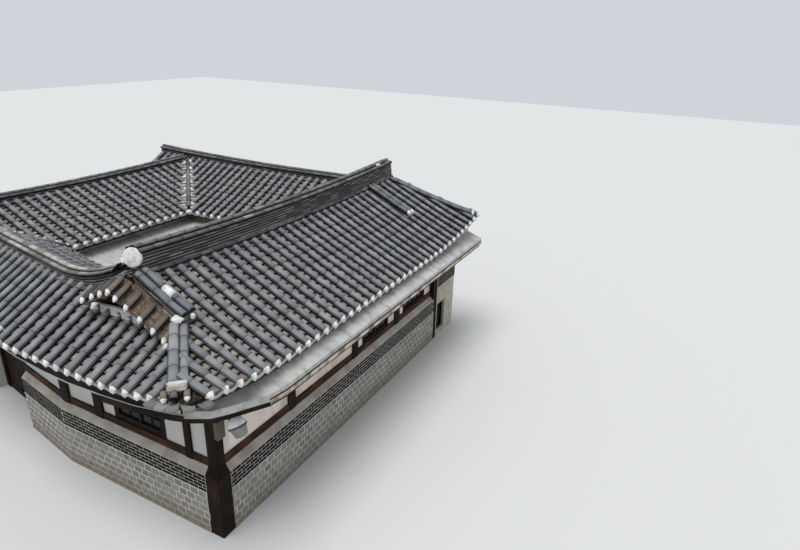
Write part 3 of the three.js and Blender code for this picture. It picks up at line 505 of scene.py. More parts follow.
def hollow_tile():
    shape = bmesh.new()
    half = math.asin(TROUGH_CHORD / 2 / TROUGH_RADIUS)
    first = (-TROUGH_CHORD / 2, 0.0, TROUGH_RADIUS - TROUGH_RADIUS * math.cos(half))
    start = bmesh.ops.create_vert(shape, co=first)["vert"]
    bmesh.ops.spin(shape, geom=start, axis=(0, -1, 0), cent=(0, 0, TROUGH_RADIUS), angle=2 * half, steps=4)
    strip = bmesh.ops.extrude_edge_only(shape, edges=shape.edges[:])["geom"]
    low = [item for item in strip if isinstance(item, bmesh.types.BMVert)]
    bmesh.ops.translate(shape, vec=(0, 0, -TROUGH_THICK), verts=low)
    pull(shape, shape.faces[:], (0, SHADED_FROM, -TROUGH_TILT * SHADED_FROM))
    back = [face for face in shape.faces if face.normal.y > 0.5]
    pull(shape, back, (0, 1 - SHADED_FROM, TROUGH_TILT * (SHADED_FROM - 1)))
    shape_up(shape, 0.5)
    # Painted shade: the front of the lip and the upper part, which the next tile covers, are marked dark.
    for face in shape.faces:
        shaded = face.normal.y < -0.5 or face.calc_center_median().y > SHADED_FROM
        face.material_index = PAINTED_SHADE if shaded else 0
    return shape


def lime_end():
    shape = bmesh.new()
    bmesh.ops.create_circle(shape, cap_ends=True, segments=12, radius=LIME_RADIUS)
    bmesh.ops.rotate(shape, cent=(0, 0, 0), matrix=Matrix.Rotation(math.pi / 2, 3, "X"), verts=shape.verts)
    for vertex in shape.verts:
        if vertex.co.z < -0.01:
            vertex.co.x *= LIME_CHIN
    front = pull(shape, shape.faces[:], LIME_REACH)
    bmesh.ops.scale(shape, vec=LIME_POINT, verts=front)
    return shape_up(shape, 0.9)


def lip_tile():
    """The drip tile at the eave: a hollow tile without painted shade on any face."""
    shape = hollow_tile()
    for face in shape.faces:
        face.material_index = 0
    return shape


ROUND = round_tile()
HOLLOW = hollow_tile()
LIP_TILE = lip_tile()
LIME_END = lime_end()
print("round tile faces:", len(ROUND.faces), "hollow tile faces:", len(HOLLOW.faces))


# %% [markdown]
# ## Rows up a slope
# Each slope of the frame is a curved sheet. Rows run straight up it in plan, so a row is found by dropping
# rays on the sheet along a line from the eave to the ridge. Where the line leaves the sheet, at a hip or a
# valley, the row ends. A row that starts in a valley starts a little later, beside the valley's own row.

# %% Lines on a slope
SCAN = 0.02
VALLEY_HALF = 0.17
OVERHANG = 0.03
SHORTEST_ROW = 0.12
SHORTEST_TILE = 0.04
IN_VALLEY = 0.06
FEWEST_HITS = 8
ABOVE_ALL = 20.0
NO_LIMIT = 99.0


def surface(*names):
    """A tree for rays onto nodes of the frame."""
    points, faces = [], []
    for name in names:
        mesh = NODES[name].data
        faces += [[index + len(points) for index in polygon.vertices] for polygon in mesh.polygons]
        points += [vertex.co.copy() for vertex in mesh.vertices]
    return BVHTree.FromPolygons(points, faces)


def drop(tree, spot):
    return tree.ray_cast(Vector((spot.x, spot.y, ABOVE_ALL)), -UP)[0]


class Slope:
    """Lines up one roof slope, by their place along the eave and their distance up."""

    def __init__(self, node, up):
        self.tree = surface(node)
        self.up = Vector((*up, 0.0))
        self.side = Vector((up[1], -up[0], 0.0))
        low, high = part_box(node)
        ends = [Vector((x, y, 0.0)) for x in (low.x, high.x) for y in (low.y, high.y)]
        self.along = sorted(end.dot(self.side) for end in ends)
        self.reach = sorted(end.dot(self.up) for end in ends)

    def plan(self, s, d):
        return self.side * s + self.up * d

    def line(self, s):
        """The heights up the line at s, as distances and heights, or nothing for a scrap."""
        steps = np.arange(self.reach[0] + 0.001, self.reach[-1], SCAN)
        hits = [(d, drop(self.tree, self.plan(s, d))) for d in steps]
        hits = [(d, hit.z) for d, hit in hits if hit]
        return np.array(hits).T if len(hits) > FEWEST_HITS else None


def steps_up(start, end, size):
    """Distances from start to end, one tile apart, where the last tile may be short."""
    marks = list(np.arange(start, end - SHORTEST_TILE, size)) + [end]
    return list(zip(marks, marks[1:]))


def laid(slope, s, size, lift, overlap, more_at_top=0.0, top_limit=NO_LIMIT):
    """The matrices of the tiles of one row, from the eave up."""
    found = slope.line(s)
    if found is None:
        return []
    distances, heights = found
    start, end = distances[0], distances[-1]
    start += VALLEY_HALF if start > slope.reach[0] + IN_VALLEY else 0.0
    end = min(end + more_at_top, top_limit)
    if end - start < SHORTEST_ROW:
        return []
    rise = (heights[-1] - heights[-FEWEST_HITS]) / (distances[-1] - distances[-FEWEST_HITS])
    tiles = []
    for low, high in steps_up(start, end, size):
        z = [np.interp(d, distances, heights) + max(0.0, d - distances[-1]) * rise for d in (low, high)]
        foot = slope.plan(s, low) + UP * z[0]
        along = slope.plan(s, high) + UP * z[1] - foot
        out = slope.side.cross(along).normalized()
        tiles.append(seat(foot + out * lift, slope.side, along * overlap, out))
    share = OVERHANG / tiles[0].col[1].xyz.length
    tiles[0] = tiles[0] @ Matrix.Translation((0, -share, 0)) @ Matrix.Diagonal((1, 1 + share, 1, 1))
    return tiles


def jittered(place, shift, turn):
    offset = Matrix.Translation(Vector(chance.normal(0, shift, 3)))
    return place @ offset @ Matrix.Rotation(chance.normal(0, turn), 4, "Z")


# %% [markdown]
# ## Laying the tiles
# A round tile shows 285 mm of its length and a hollow one 135 mm. The rows are a quarter of a metre apart,
# and the east rows beside the near hip a little more. The eave ends in a drip tile with a thick hanging lip
# between each pair of lime ends. Beside the near hip the front rows stop at the hip's own rows, and the
# east rows run on under them. The table gives each slope's way up, the pitch of its rows and the place of
# one row, measured from the near corner.

# %% Tiles on every slope
ROUND_STEP = 0.285
HOLLOW_STEP = 0.135
ROUND_LIFT = 0.034
HOLLOW_LIFT = 0.018
ROUND_JITTER = (0.001, 0.006)
HOLLOW_JITTER = (0.0015, 0.02)
DRIP_SHIFT = Matrix.Translation((0, -0.16, 0.004))
DRIP_SIZE = Matrix.Diagonal((1.16, 0.4, 2.2, 1))
HIP_SUM = -0.50
EAST_BY_HIP = 0.30
FRONT_BY_HIP = -0.84
UNDER_HIP = 0.26
NEAR_SPREAD = 1.09

SLOPES = {
    "east_outer_slope": ((-1, 0), 0.2555, 0.69),
    "east_yard_slope": ((1, 0), 0.2555, 0.69),
    "south_front_slope": ((0, 1), 0.25, -0.29),
    "south_yard_slope": ((0, -1), 0.25, 0.29),
    "west_yard_slope": ((-1, 0), 0.2555, 0.60),
    "west_outer_slope": ((1, 0), 0.2555, 0.60),
    "north_yard_slope": ((0, 1), 0.2555, -0.40),
    "north_west_slope": ((0, 1), 0.2555, -0.40),
    "north_outer_slope": ((0, -1), 0.2555, 0.40),
}


def hip_changes(node, s, slope):
    """How the rows beside the near hip change, as keyword arguments for laid."""
    place = s - CORNER.dot(slope.side)
    if node == "east_outer_slope" and place < EAST_BY_HIP:
        return {"more_at_top": UNDER_HIP}
    if node == "south_front_slope" and place > FRONT_BY_HIP:
        return {"top_limit": CORNER.y + HIP_SUM - place}
    return {}


def tile_slope(node, up, pitch, place):
    slope = Slope(node, up)
    first = CORNER.dot(slope.side) + place
    count = math.ceil((slope.along[0] - first) / pitch)
    marks = np.arange(first + (count - 1) * pitch, slope.along[-1] + pitch, pitch)
    if node == "east_outer_slope":
        marks = np.where(marks < first, first + (marks - first) * NEAR_SPREAD, marks)
    rounds, hollows, drips, limes = [], [], [], []
    for s in marks:
        row = laid(slope, s, ROUND_STEP, ROUND_LIFT, 0.98, **hip_changes(node, s, slope))
        rounds += [jittered(tile, *ROUND_JITTER) for tile in row]
        for end in row[:1]:
            along = end.col[1].xyz.normalized()
            across = slope.side * chance.normal(1.0, 0.06)
            limes.append(seat(end.translation + along * 0.002, across, along, slope.side.cross(along)))
    for s in (marks[1:] + marks[:-1]) / 2:
        trough = laid(slope, s, HOLLOW_STEP, HOLLOW_LIFT, 1.08, **hip_changes(node, s, slope))
        hollows += [jittered(tile, *HOLLOW_JITTER) for tile in trough]
        drips += [end @ DRIP_SHIFT @ DRIP_SIZE for end in trough[:1]]
    tones = 0.80 + 0.15 * chance.random(len(rounds))
    copies(node.replace("slope", "round_tiles"), ROUND, rounds, ROUND_TILE, tones)
    copies(node.replace("slope", "hollow_tiles"), HOLLOW, hollows, HOLLOW_TILE)
    return drips, limes


eave_drips, eave_limes = [], []
for node, (up, pitch, place) in SLOPES.items():
    more_drips, more_limes = tile_slope(node, up, pitch, place)
    eave_drips += more_drips
    eave_limes += more_limes
copies("eave_drip_tiles", LIP_TILE, eave_drips, DRIP_TILE)
copies("row_lime_ends", LIME_END, eave_limes, LIME)


# %% [markdown]
# ## Lines for ridges
# A ridge follows a path in plan. Its top is found by dropping rays on the bar that stands for it in the
# frame, and its foot by dropping them on the slopes at both sides. Tiles are then laid along the path by
# distance.

# %% Ridge lines
LAYER = 0.025
FLAT_LENGTH = 0.27
RIDGE_SAMPLES = 50
RIDGE_MARGIN = 0.03
LOOK_AHEAD = 0.02
NO_DECK = 90.0


def flat_tile():
    shape = bmesh.new()
    bmesh.ops.create_cube(shape, size=1.0)
    bmesh.ops.translate(shape, vec=(0, 0.5, 0), verts=shape.verts)
    return shape_up(shape)


FLAT = flat_tile()
DECKS = surface(*SLOPES)


def height_of(tree, spot, otherwise):
    hit = drop(tree, spot)
    return hit.z if hit else otherwise


class RidgeLine:
    """A plan path with the height of a ridge's top and of the decks beside it."""

    def __init__(self, points, half, bar=None, rise=0.0):
        self.corners = [at(*point) for point in points]
        gaps = [(end - start).length for start, end in zip(self.corners, self.corners[1:])]
        self.marks = np.concatenate([[0.0], np.cumsum(gaps)])
        self.length = self.marks[-1]
        self.samples = np.linspace(RIDGE_MARGIN, self.length - RIDGE_MARGIN, RIDGE_SAMPLES)
        feet = np.array([self.foot(d, half) for d in self.samples])
        found = feet < NO_DECK
        self.feet = np.interp(self.samples, self.samples[found], feet[found])
        self.tops = self.feet + rise
        if bar:
            tree = surface(bar)
            self.tops = [height_of(tree, self.plan(d), top) for d, top in zip(self.samples, self.tops)]

    def plan(self, d, side=0.0):
        spot = Vector([np.interp(d, self.marks, [corner[i] for corner in self.corners]) for i in range(3)])
        return spot + self.out(d) * side if side else spot

    def out(self, d):
        here = min(max(d, LOOK_AHEAD), self.length - LOOK_AHEAD)
        way = self.plan(here + LOOK_AHEAD) - self.plan(here - LOOK_AHEAD)
        return Vector((way.y, -way.x, 0.0)).normalized()

    def foot(self, d, half):
        return min(height_of(DECKS, self.plan(d, side), NO_DECK) for side in (half, -half))

    def piece(self, start, end, side, fall, wide, tall, overlap=0.98, from_foot=False):
        """A matrix for a tile between two distances, this far below the top or above the foot."""
        levels = self.feet if from_foot else self.tops
        a = self.plan(start, side) + UP * (np.interp(start, self.samples, levels) - fall)
        b = self.plan(end, side) + UP * (np.interp(end, self.samples, levels) - fall)
        return seat(a, self.out((start + end) / 2) * wide, (b - a) * overlap, UP * tall)


def cuts(length, size, offset):
    marks = [0.0] + list(np.arange(offset, length - 0.05, size)) + [length]
    return [(start, end) for start, end in zip(marks, marks[1:]) if end - start > 0.01]


# %% [markdown]
# ## Ridges
# A ridge is a low wall of flat tiles laid in clay. It starts with rows of round tiles along each side, then
# come thin layers whose edges stand out a little unevenly, with painted shade on the set-back layers between
# them, a pair of rows near the top, and one row of round tiles that covers it all. Lichen has turned the top
# rows pale. Three numbers give such a row its fall below the top, its width and its height.

# %% Ridge walls
ROLL_STEP = 0.29
ROLL_OVERLAP = 0.972
CREST = (0.060, 0.85, 0.75)
SHOULDER = (0.105, 0.80, 0.70)
FOOT_RISE = 0.015
FOOT_PITCH = 0.080
FIRST_LAYER = 0.128
MOST_LAYERS = 24
LAYER_GAP = 0.006
RIDGES = {
    "main_ridge": ([(-1.87, 0.53), (-1.87, 8.44)], 0.19, 2, 0.68),
    "south_ridge": ([(-8.22, 1.38), (-7.98, 1.38), (-3.70, 0.65), (-2.43, 0.65)], 0.15, 1, 0.92),
    "west_ridge": ([(-8.68, 1.09), (-8.68, 7.92)], 0.15, 1, 0.72),
    "north_ridge": ([(-9.68, 8.08), (-2.10, 8.08)], 0.15, 1, 0.68),
}


def ridge_wall(node, points, half, foot_rows, top_tone):
    line = RidgeLine(points, half, node)
    flats, flat_tones, rolls, roll_tones = [], [], [], []
    for start, end in cuts(line.length, ROLL_STEP, 0.15):
        rolls.append(line.piece(start, end, 0.0, *CREST, ROLL_OVERLAP))
        roll_tones.append(top_tone)
    for start, end in cuts(line.length, ROLL_STEP, ROLL_STEP):
        for side in (half, -half):
            rolls.append(line.piece(start, end, side * 0.60, *SHOULDER, ROLL_OVERLAP))
            roll_tones.append(top_tone * 0.85)
            for row in range(foot_rows):
                out = side * (1.0 - 0.14 * row)
                fall = -FOOT_RISE - FOOT_PITCH * row
                rolls.append(line.piece(start, end, out, fall, 0.85, 0.85, ROLL_OVERLAP, True))
                roll_tones.append(0.35 + 0.3 * chance.random())
    # Every second layer is set back and gets a low tone: painted shade in the recesses between the proud
    # edges.
    for layer in range(MOST_LAYERS):
        fall = FIRST_LAYER + LAYER * layer
        proud = layer % 2
        wide = 2 * half * min(1.0, 0.80 + 0.016 * layer) - (0.0 if proud else 0.05)
        for start, end in cuts(line.length, FLAT_LENGTH, FLAT_LENGTH * (0.5 + 0.5 * proud)):
            middle = (start + end) / 2
            level = np.interp(middle, line.samples, line.tops) - fall
            if level > np.interp(middle, line.samples, line.feet) + 0.05 * foot_rows - 0.03:
                flats.append(line.piece(start, end, chance.normal(0, 0.003), fall, wide, LAYER - LAYER_GAP))
                flat_tones.append(0.42 + 0.45 * chance.random() if proud else 0.10)
    tones = np.clip(np.array(roll_tones) + chance.normal(0, 0.10, len(roll_tones)), 0, 1)
    copies(node + "_layers", FLAT, flats, RIDGE_TILE, flat_tones, (node,))
    copies(node + "_rolls", ROUND, rolls, RIDGE_TILE, tones)


for node, (points, half, foot_rows, top_tone) in RIDGES.items():
    ridge_wall(node, points, half, foot_rows, top_tone)


# %% [markdown]
# ## Hips and descents
# The short ridges that run down to the corners and the verges carry two rows of round tiles side by side on
# a few layers. Each row has its offset to the side, its fall below the ridge's top and its size. They are
# laid from their lower end up, like every row.

# %% Side by side rows
HIP_STEP = 0.28
HIP_LAYER_LENGTH = 0.25
HIP_LAYERS_FALL = 0.075
HIP_LAYER_GAP = 0.007
PAIR = ((0.07, 0.05, 0.95), (-0.07, 0.05, 0.95))
NEAR_PAIR = ((-0.05, 0.045, 1.12), (0.082, 0.080, 0.95))
DESCENDING_PAIR = ((0.072, 0.045, 0.95), (-0.07, 0.065, 0.95))
HIPS = {
    "near_hip_ridge": ([(0.03, -0.53), (-0.74, 0.24)], NEAR_PAIR, 7),
    "near_descending_ridge": ([(-0.74, 0.47), (-1.67, 0.47)], DESCENDING_PAIR, 6),
    "far_descending_ridge": ([(-0.57, 7.33), (-1.67, 7.33)], ((0.075, 0.0, 0.95), (-0.075, 0.0, 0.95)), 5),
    "far_verge_ridge": ([(0.38, 9.02), (-1.60, 8.37)], ((0.07, 0.02, 0.9), (-0.07, 0.02, 0.9)), 4),
    "southwest_hip_ridge": ([(-10.66, 0.10), (-9.68, 1.08)], PAIR, 6),
    "northwest_hip_ridge": ([(-10.66, 10.06), (-9.78, 9.18)], PAIR, 6),
}


def hip_rows(node, points, rows, layers):
    line = RidgeLine(points, 0.15, node)
    flats, rolls = [], []
    for side, fall, size in rows:
        for start, end in cuts(line.length, HIP_STEP, HIP_STEP):
            rolls.append(line.piece(start, end, side, fall, size, size, 0.975))
    middle = sum(row[0] for row in rows) / len(rows)
    for layer in range(layers):
        proud = layer % 2
        for start, end in cuts(line.length, HIP_LAYER_LENGTH, HIP_LAYER_LENGTH - 0.12 * proud):
            wide = 0.25 + 0.02 * proud + 0.006 * layer
            fall = HIP_LAYERS_FALL + LAYER * layer
            flats.append(line.piece(start, end, middle, fall, wide, LAYER - HIP_LAYER_GAP))
    copies(node + "_layers", FLAT, flats, RIDGE_TILE, None, (node,))
    tones = (0.85 if node == "near_hip_ridge" else 0.68) + 0.15 * chance.random(len(rolls))
    copies(node + "_rows", ROUND, rolls, ROUND_TILE, tones)
    return [line.piece(0.0, 0.05, side, fall, size, size, 20.0) for side, fall, size in rows]


hip_ends = {node: hip_rows(node, *values) for node, values in HIPS.items()}
closed = [end for node, ends in hip_ends.items() for end in ends if not node.startswith("near")]
copies("hip_lime_ends", LIME_END, closed, LIME)


# %% [markdown]
# ## Valleys
# Where two wings meet over the yard, a single row of round tiles runs up the valley on a bed of clay. Short
# tiles lie across the bed at both sides of it.

# %% Valley rows
VALLEY_STEP = 0.28
VALLEY_TOP = 0.13
VALLEY_ROW = (0.04, 0.9, 0.9)
VALLEY_BED = (0.07, 0.20, 0.05)
BED_SIDE = 0.11
CROSS_STEP = 0.15
CROSS_FALL = 0.06
CROSS_OUT = 0.17
CROSS_UNEVEN = 0.04
CROSS_WIDE = 0.72
CROSS_LONG = 0.14
CROSS_TALL = 0.75
VALLEYS = {
    "northwest": [(-6.67, 6.07), (-8.58, 7.98)],
    "northeast": [(-4.17, 6.07), (-2.30, 7.94)],
    "southwest": [(-6.67, 2.46), (-7.86, 1.48)],
    "southeast": [(-4.17, 2.00), (-3.05, 0.88)],
}


def valley(points):
    line = RidgeLine(points, 0.02, None, VALLEY_TOP)
    beds, rows, crossing = [], [], []
    for start, end in cuts(line.length, VALLEY_STEP, VALLEY_STEP):
        rows.append(line.piece(start, end, 0.0, *VALLEY_ROW, 1.06))
        beds += [line.piece(start, end, side, *VALLEY_BED, 1.02) for side in (-BED_SIDE, BED_SIDE)]
    for start, end in cuts(line.length, CROSS_STEP, CROSS_STEP):
        level = np.interp(start, line.samples, line.tops) - CROSS_FALL
        way = (line.plan(end) - line.plan(start)).normalized()
        for side in (-1, 1):
            out = line.out(start) * side
            reach = CROSS_OUT + CROSS_UNEVEN * chance.random()
            foot = line.plan(start, reach * side) + UP * level
            crossing.append(seat(foot, way * CROSS_WIDE * side, -out * CROSS_LONG, UP * CROSS_TALL))
    return beds, rows, crossing


valley_parts = [valley(points) for points in VALLEYS.values()]
copies("valley_beds", FLAT, sum((parts[0] for parts in valley_parts), []), CLAY)
rows = sum((parts[1] for parts in valley_parts), [])
copies("valley_rows", ROUND, rows, ROUND_TILE, 0.5 + 0.3 * chance.random(len(rows)))
crossing = sum((parts[2] for parts in valley_parts), [])
copies("valley_cross_tiles", ROUND, crossing, CROSS_TILE)


# %% [markdown]
# ## The gables over the front
# The verges of both gables carry short rows that lie across them and point outwards, on a bed of brown clay.
# Left of the ridge these tiles are dark, and right of it they are paler and uneven in tone.

# %% Verges
VERGE_APEX = ROOF_ZERO + 2.93
VERGE_FALL = 0.47
VERGE_FALL_OUT = 0.42
VERGE_DEEP = 0.40
VERGE_OUTER = 0.43
VERGE_INNER = 0.16
VERGE_SIZE = 0.80


def verge_height(x, y, ridge_x, wall_y):
    return VERGE_APEX - VERGE_FALL * abs(x - ridge_x) - VERGE_FALL_OUT * (wall_y - y)


def verge_slab(ridge_x, wall_y, left, right, deep):
    """A bed of clay that follows the slope and falls outwards past the gable wall."""
    shape = bmesh.new()
    bmesh.ops.create_grid(shape, x_segments=24, y_segments=4, size=0.5)
    middle = at((left + right) / 2, wall_y - deep / 2)
    bmesh.ops.scale(shape, vec=(right - left, deep, 1), verts=shape.verts)
    bmesh.ops.translate(shape, vec=middle, verts=shape.verts)
    for vertex in shape.verts:
        place = vertex.co - CORNER
        ragged = 0.012 * math.sin(31 * place.x) + 0.01 * math.sin(17 * place.x + 2)
        vertex.co.z = verge_height(place.x, place.y, ridge_x, wall_y) + ragged - 0.055
        vertex.co.y += 0.02 * math.sin(23 * place.x)
    bmesh.ops.recalc_face_normals(shape, faces=shape.faces)
    bmesh.ops.solidify(shape, geom=shape.faces[:], thickness=0.06)
    bmesh.ops.recalc_face_normals(shape, faces=shape.faces)
    return shape


def add_shape(name, shape, look, smooth=False):
    mesh = bpy.data.meshes.new(name)
    for face in shape.faces:
        face.smooth = smooth
    shape.to_mesh(mesh)
    print(f"{name}: {len(mesh.polygons)} faces")
    return hold(name, mesh, look)


def lime_at(row, wide, deep, out):
    """A lime end at the lower end of a row's tile."""
    return seat(row.translation, row.col[0].xyz * wide, row.col[1].xyz.normalized() * deep, out)


GABLES = {
    "east": (-1.87, 0.42, -2.62, -0.72, (-2.50, -2.25, -2.04, -1.85, -1.70, -1.49, -1.22, -0.97, -0.76)),
    "west": (-8.68, 1.15, -10.04, -8.20, (-9.90, -9.65, -9.40, -9.15, -8.90, -8.65, -8.40)),
}
verge_rows = []
verge_tones = []
for side, (ridge_x, wall_y, left, right, places) in GABLES.items():
    slab = verge_slab(ridge_x, wall_y, left, right, VERGE_DEEP)
    add_shape(side + "_verge_bed", slab, CLAY, True)
    outer, inner = wall_y - VERGE_OUTER, wall_y - VERGE_INNER
    for x in places:
        low = at(x, outer, verge_height(x, outer, ridge_x, wall_y) - 0.005)
        high = at(x, inner, verge_height(x, inner, ridge_x, wall_y) + 0.005)
        verge_rows.append(seat(low, Vector((VERGE_SIZE, 0, 0)), high - low, UP * VERGE_SIZE))
        verge_tones.append(0.06 + 0.05 * chance.random() if x < ridge_x else 0.3 + 0.6 * chance.random())
copies("verge_rows", ROUND, verge_rows, VERGE_TILE, verge_tones)
verge_ends = [lime_at(row, 0.95, 0.7, UP * 0.75) for row in verge_rows]
copies("verge_lime_ends", LIME_END, verge_ends, LIME)


# %% [markdown]
# ## Lumps of lime
# Lime plaster closes the places where ridges end and meet. It is laid by hand, so it is a lump with no
# clear shape: an icosphere that a little noise pulls about, scaled to each place. The end of the main ridge
# has a round plate of it, and a curved fillet runs along the foot of the near gable.

# %% Lime lumps
def lump():
    shape = bmesh.new()
    bmesh.ops.create_icosphere(shape, subdivisions=2, radius=1.0)
    for vertex in shape.verts:
        wave = 0.10 * math.sin(5 * vertex.co.x + 1) * math.cos(4 * vertex.co.z)
        vertex.co *= 1.0 + wave + chance.normal(0, 0.05)
    return shape_up(shape, 2.0)


def lump_at(x, y, above, size, turn=0.0):
    turned = Matrix.Rotation(math.radians(turn), 3, "Z")
    columns = [turned.col[i] * size[i] for i in range(3)]
    return seat(on_roof(x, y, above), *columns)


LIME_LUMPS = [
    lump_at(-0.79, 0.29, 2.43, (0.12, 0.09, 0.05), -45),
    lump_at(-0.69, 0.50, 2.42, (0.02, 0.05, 0.05)),
    lump_at(-0.70, 0.00, 2.15, (0.045, 0.10, 0.05)),
    lump_at(-1.87, 7.90, 3.26, (0.10, 0.16, 0.05)),
    lump_at(-8.66, 7.86, 2.62, (0.09, 0.14, 0.06)),
    lump_at(-8.60, 7.98, 2.58, (0.09, 0.10, 0.08), 45),
    lump_at(-8.50, 7.86, 2.48, (0.07, 0.08, 0.09), 45),
    lump_at(-2.16, 0.58, 2.98, (0.09, 0.06, 0.05)),
]
LIME_LUMPS += [lump_at(x, 0.22, 2.20 + 0.02 * math.sin(9 * x), (0.048, 0.05, 0.028))
               for x in np.arange(-2.54, -1.2, 0.25)]
copies("lime_lumps", lump(), LIME_LUMPS, LIME)


PLATE_PLACE = (-1.84, 0.49, 3.13)
PLATE_RADII = (0.155, 0.16)
PLATE_THICK = 0.06
PLATE_ROUND = 0.02
PLATE_TURN = 20
PLATE_TIP = 84


def lime_plate():
    shape = bmesh.new()
    bmesh.ops.create_cone(shape, cap_ends=True, segments=28, radius1=PLATE_RADII[0], radius2=PLATE_RADII[1],
                          depth=PLATE_THICK)
    rims = [edge for edge in shape.edges if abs(edge.verts[0].co.z - edge.verts[1].co.z) < 0.001]
    bmesh.ops.bevel(shape, geom=rims, offset=PLATE_ROUND, segments=3, profile=0.5, affect="EDGES",
                    material=-1)
    turn = Matrix.Rotation(math.radians(PLATE_TURN), 3, "Z")
    facing = turn @ Matrix.Rotation(math.radians(PLATE_TIP), 3, "X")
    bmesh.ops.rotate(shape, cent=(0, 0, 0), matrix=facing, verts=shape.verts)
    bmesh.ops.translate(shape, vec=on_roof(*PLATE_PLACE), verts=shape.verts)
    return shape


add_shape("main_ridge_lime_plate", lime_plate(), LIME, True)


FILLET_START = (-2.85, 0.22, 2.15)
FILLET_LONG = 1.70
FILLET_DEEP = 0.065
FILLET_TALL = 0.07
FILLET_ARCH = 0.07


def fillet():
    """A curved fillet of lime along the foot of the near gable."""
    shape = bmesh.new()
    bmesh.ops.create_grid(shape, x_segments=24, y_segments=3, size=0.5)
    x, y, foot = FILLET_START
    for vertex in shape.verts:
        along, up = vertex.co.x + 0.5, vertex.co.y + 0.5
        arch = FILLET_ARCH * math.sin(math.pi * along)
        above = foot + (FILLET_TALL + arch) * up + 0.5 * arch
        vertex.co = on_roof(x + FILLET_LONG * along, y + FILLET_DEEP * up, above)
    bmesh.ops.solidify(shape, geom=shape.faces[:], thickness=0.03)
    bmesh.ops.recalc_face_normals(shape, faces=shape.faces)
    return shape


add_shape("gable_lime_fillet", fillet(), MORTAR, True)
white_tile = seat(on_roof(-1.08, 0.542, 2.634), Vector((0, 0.98, 0)), Vector((-0.20, 0, 0.094)), UP * 0.98)
copies("limed_ridge_tile", ROUND, [white_tile], LIME)


# %% [markdown]
# ## The near hip's foot
# The hip's rows stop short of the corner on a block of lime. Below it three short rows fan out over the
# corner of the eave, the outer two with a lime end, over the drip tiles that turn the corner.

# %% The foot of the near hip
FAN = ((0.03, -0.775, 1.93), (0.15, -0.71, 1.955), (0.26, -0.59, 1.935))
FAN_TONES = (0.8, 0.5, 0.9)
FAN_SIZE = 0.62
FAN_WAY = Vector((-0.07, 0.07, 0.055))
CORNER_DRIPS = ((-0.10, -0.74, 1.875, -8), (0.04, -0.745, 1.885, -22), (0.17, -0.735, 1.895, -40),
                (0.31, -0.66, 1.90, -58), (0.43, -0.53, 1.895, -78))
CORNER_DRIP_TONES = (0.66, 0.82, 0.72, 0.78, 0.64)
LIME_BLOCK_PLACE = (0.10, -0.60, 2.07)
LIME_BLOCK_SIZE = (0.25, 0.09, 0.12)
LIME_BLOCK_ROUND = 0.025
LIME_BLOCK_UNEVEN = 0.006


def fan_row(x, y, above):
    across = FAN_WAY.cross(UP).normalized()
    out = across.cross(FAN_WAY).normalized()
    return seat(on_roof(x, y, above), across * FAN_SIZE, FAN_WAY, out * FAN_SIZE)


def corner_drip(x, y, above, turn):
    way = Matrix.Rotation(math.radians(90 - turn), 3, "Z").col[0]
    across = way.cross(UP)
    return seat(on_roof(x, y, above), across * 0.74, UP * 0.05 - way * 0.26, UP * 0.9)


fan_rows = [fan_row(*place) for place in FAN]
copies("corner_fan_rows", ROUND, fan_rows, VERGE_TILE, FAN_TONES)
fan_ends = [lime_at(row, 1.0, 1.0, row.col[2].xyz) for row in (fan_rows[0], fan_rows[2])]
copies("corner_fan_lime_ends", LIME_END, fan_ends, LIME)
corner_drips = [corner_drip(*place) for place in CORNER_DRIPS]
copies("corner_drip_tiles", LIP_TILE, corner_drips, RIDGE_TILE, CORNER_DRIP_TONES)


def lime_block():
    shape = bmesh.new()
    bmesh.ops.create_cube(shape, size=1.0)
    bmesh.ops.scale(shape, vec=LIME_BLOCK_SIZE, verts=shape.verts)
    bmesh.ops.bevel(shape, geom=shape.edges[:], offset=LIME_BLOCK_ROUND, segments=2, profile=0.5,
                    affect="EDGES", material=-1)
    bmesh.ops.subdivide_edges(shape, edges=shape.edges[:], cuts=1, use_grid_fill=True)
    for vertex in shape.verts:
        vertex.co += Vector(chance.normal(0, LIME_BLOCK_UNEVEN, 3))
    turn = Matrix.Rotation(math.radians(45), 3, "Z")
    bmesh.ops.rotate(shape, cent=(0, 0, 0), matrix=turn, verts=shape.verts)
    bmesh.ops.translate(shape, vec=on_roof(*LIME_BLOCK_PLACE), verts=shape.verts)
    return shape


add_shape("near_hip_lime_block", lime_block(), MORTAR, True)


# %% [markdown]
# ## Walls by distance and depth
# Blocks, boards and bars on a wall are all one unit shape. A wall is a line in plan, and a bar on it is
# given by its distances along the line, its heights and its depths behind the face.

# %% Wall lines
class Wall:
    """A straight run of wall whose outer side is on the right of its direction."""

    def __init__(self, start, end):
        self.start = at(*start)
        self.length = (at(*end) - self.start).length
        self.way = (at(*end) - self.start).normalized()
        self.out = self.way.cross(UP)

    def bar(self, left, right, low, high, front, back):
        middle = self.start + self.way * (left + right) / 2 + UP * (low + high) / 2
        middle -= self.out * (front + back) / 2
        return seat(middle, self.way * (right - left), self.out * (front - back), UP * (high - low))


EAST_WALL = Wall((0, 0), (0, 9.05))
SOUTH_WALL = Wall((-3.75, 0), (0, 0))
BEND_WALL = Wall((-5.35, 0.265), (-3.75, 0))
GATE_WALL = Wall((-7.2997, 0.914), (-5.378, 0.570))
OUTER_WALLS = {
    "gate_side_wall": Wall((-10.10, 0.73), (-7.98, 0.73)),
    "west_side_wall": Wall((-10.10, 9.46), (-10.10, 0.73)),
    "north_side_wall": Wall((-2.20, 9.46), (-10.10, 9.46)),
}
print("east wall", round(EAST_WALL.length, 2), "m, south wall", round(SOUTH_WALL.length, 2), "m")


# %% [markdown]
# ## Masonry
# Granite blocks stand in six courses under five courses of black brick. Both are one bevelled block, scaled
# to its place and set a few millimetres proud of the wall. The joints between the granite are raised ribs
# of white mortar, so they are thin bars of their own.

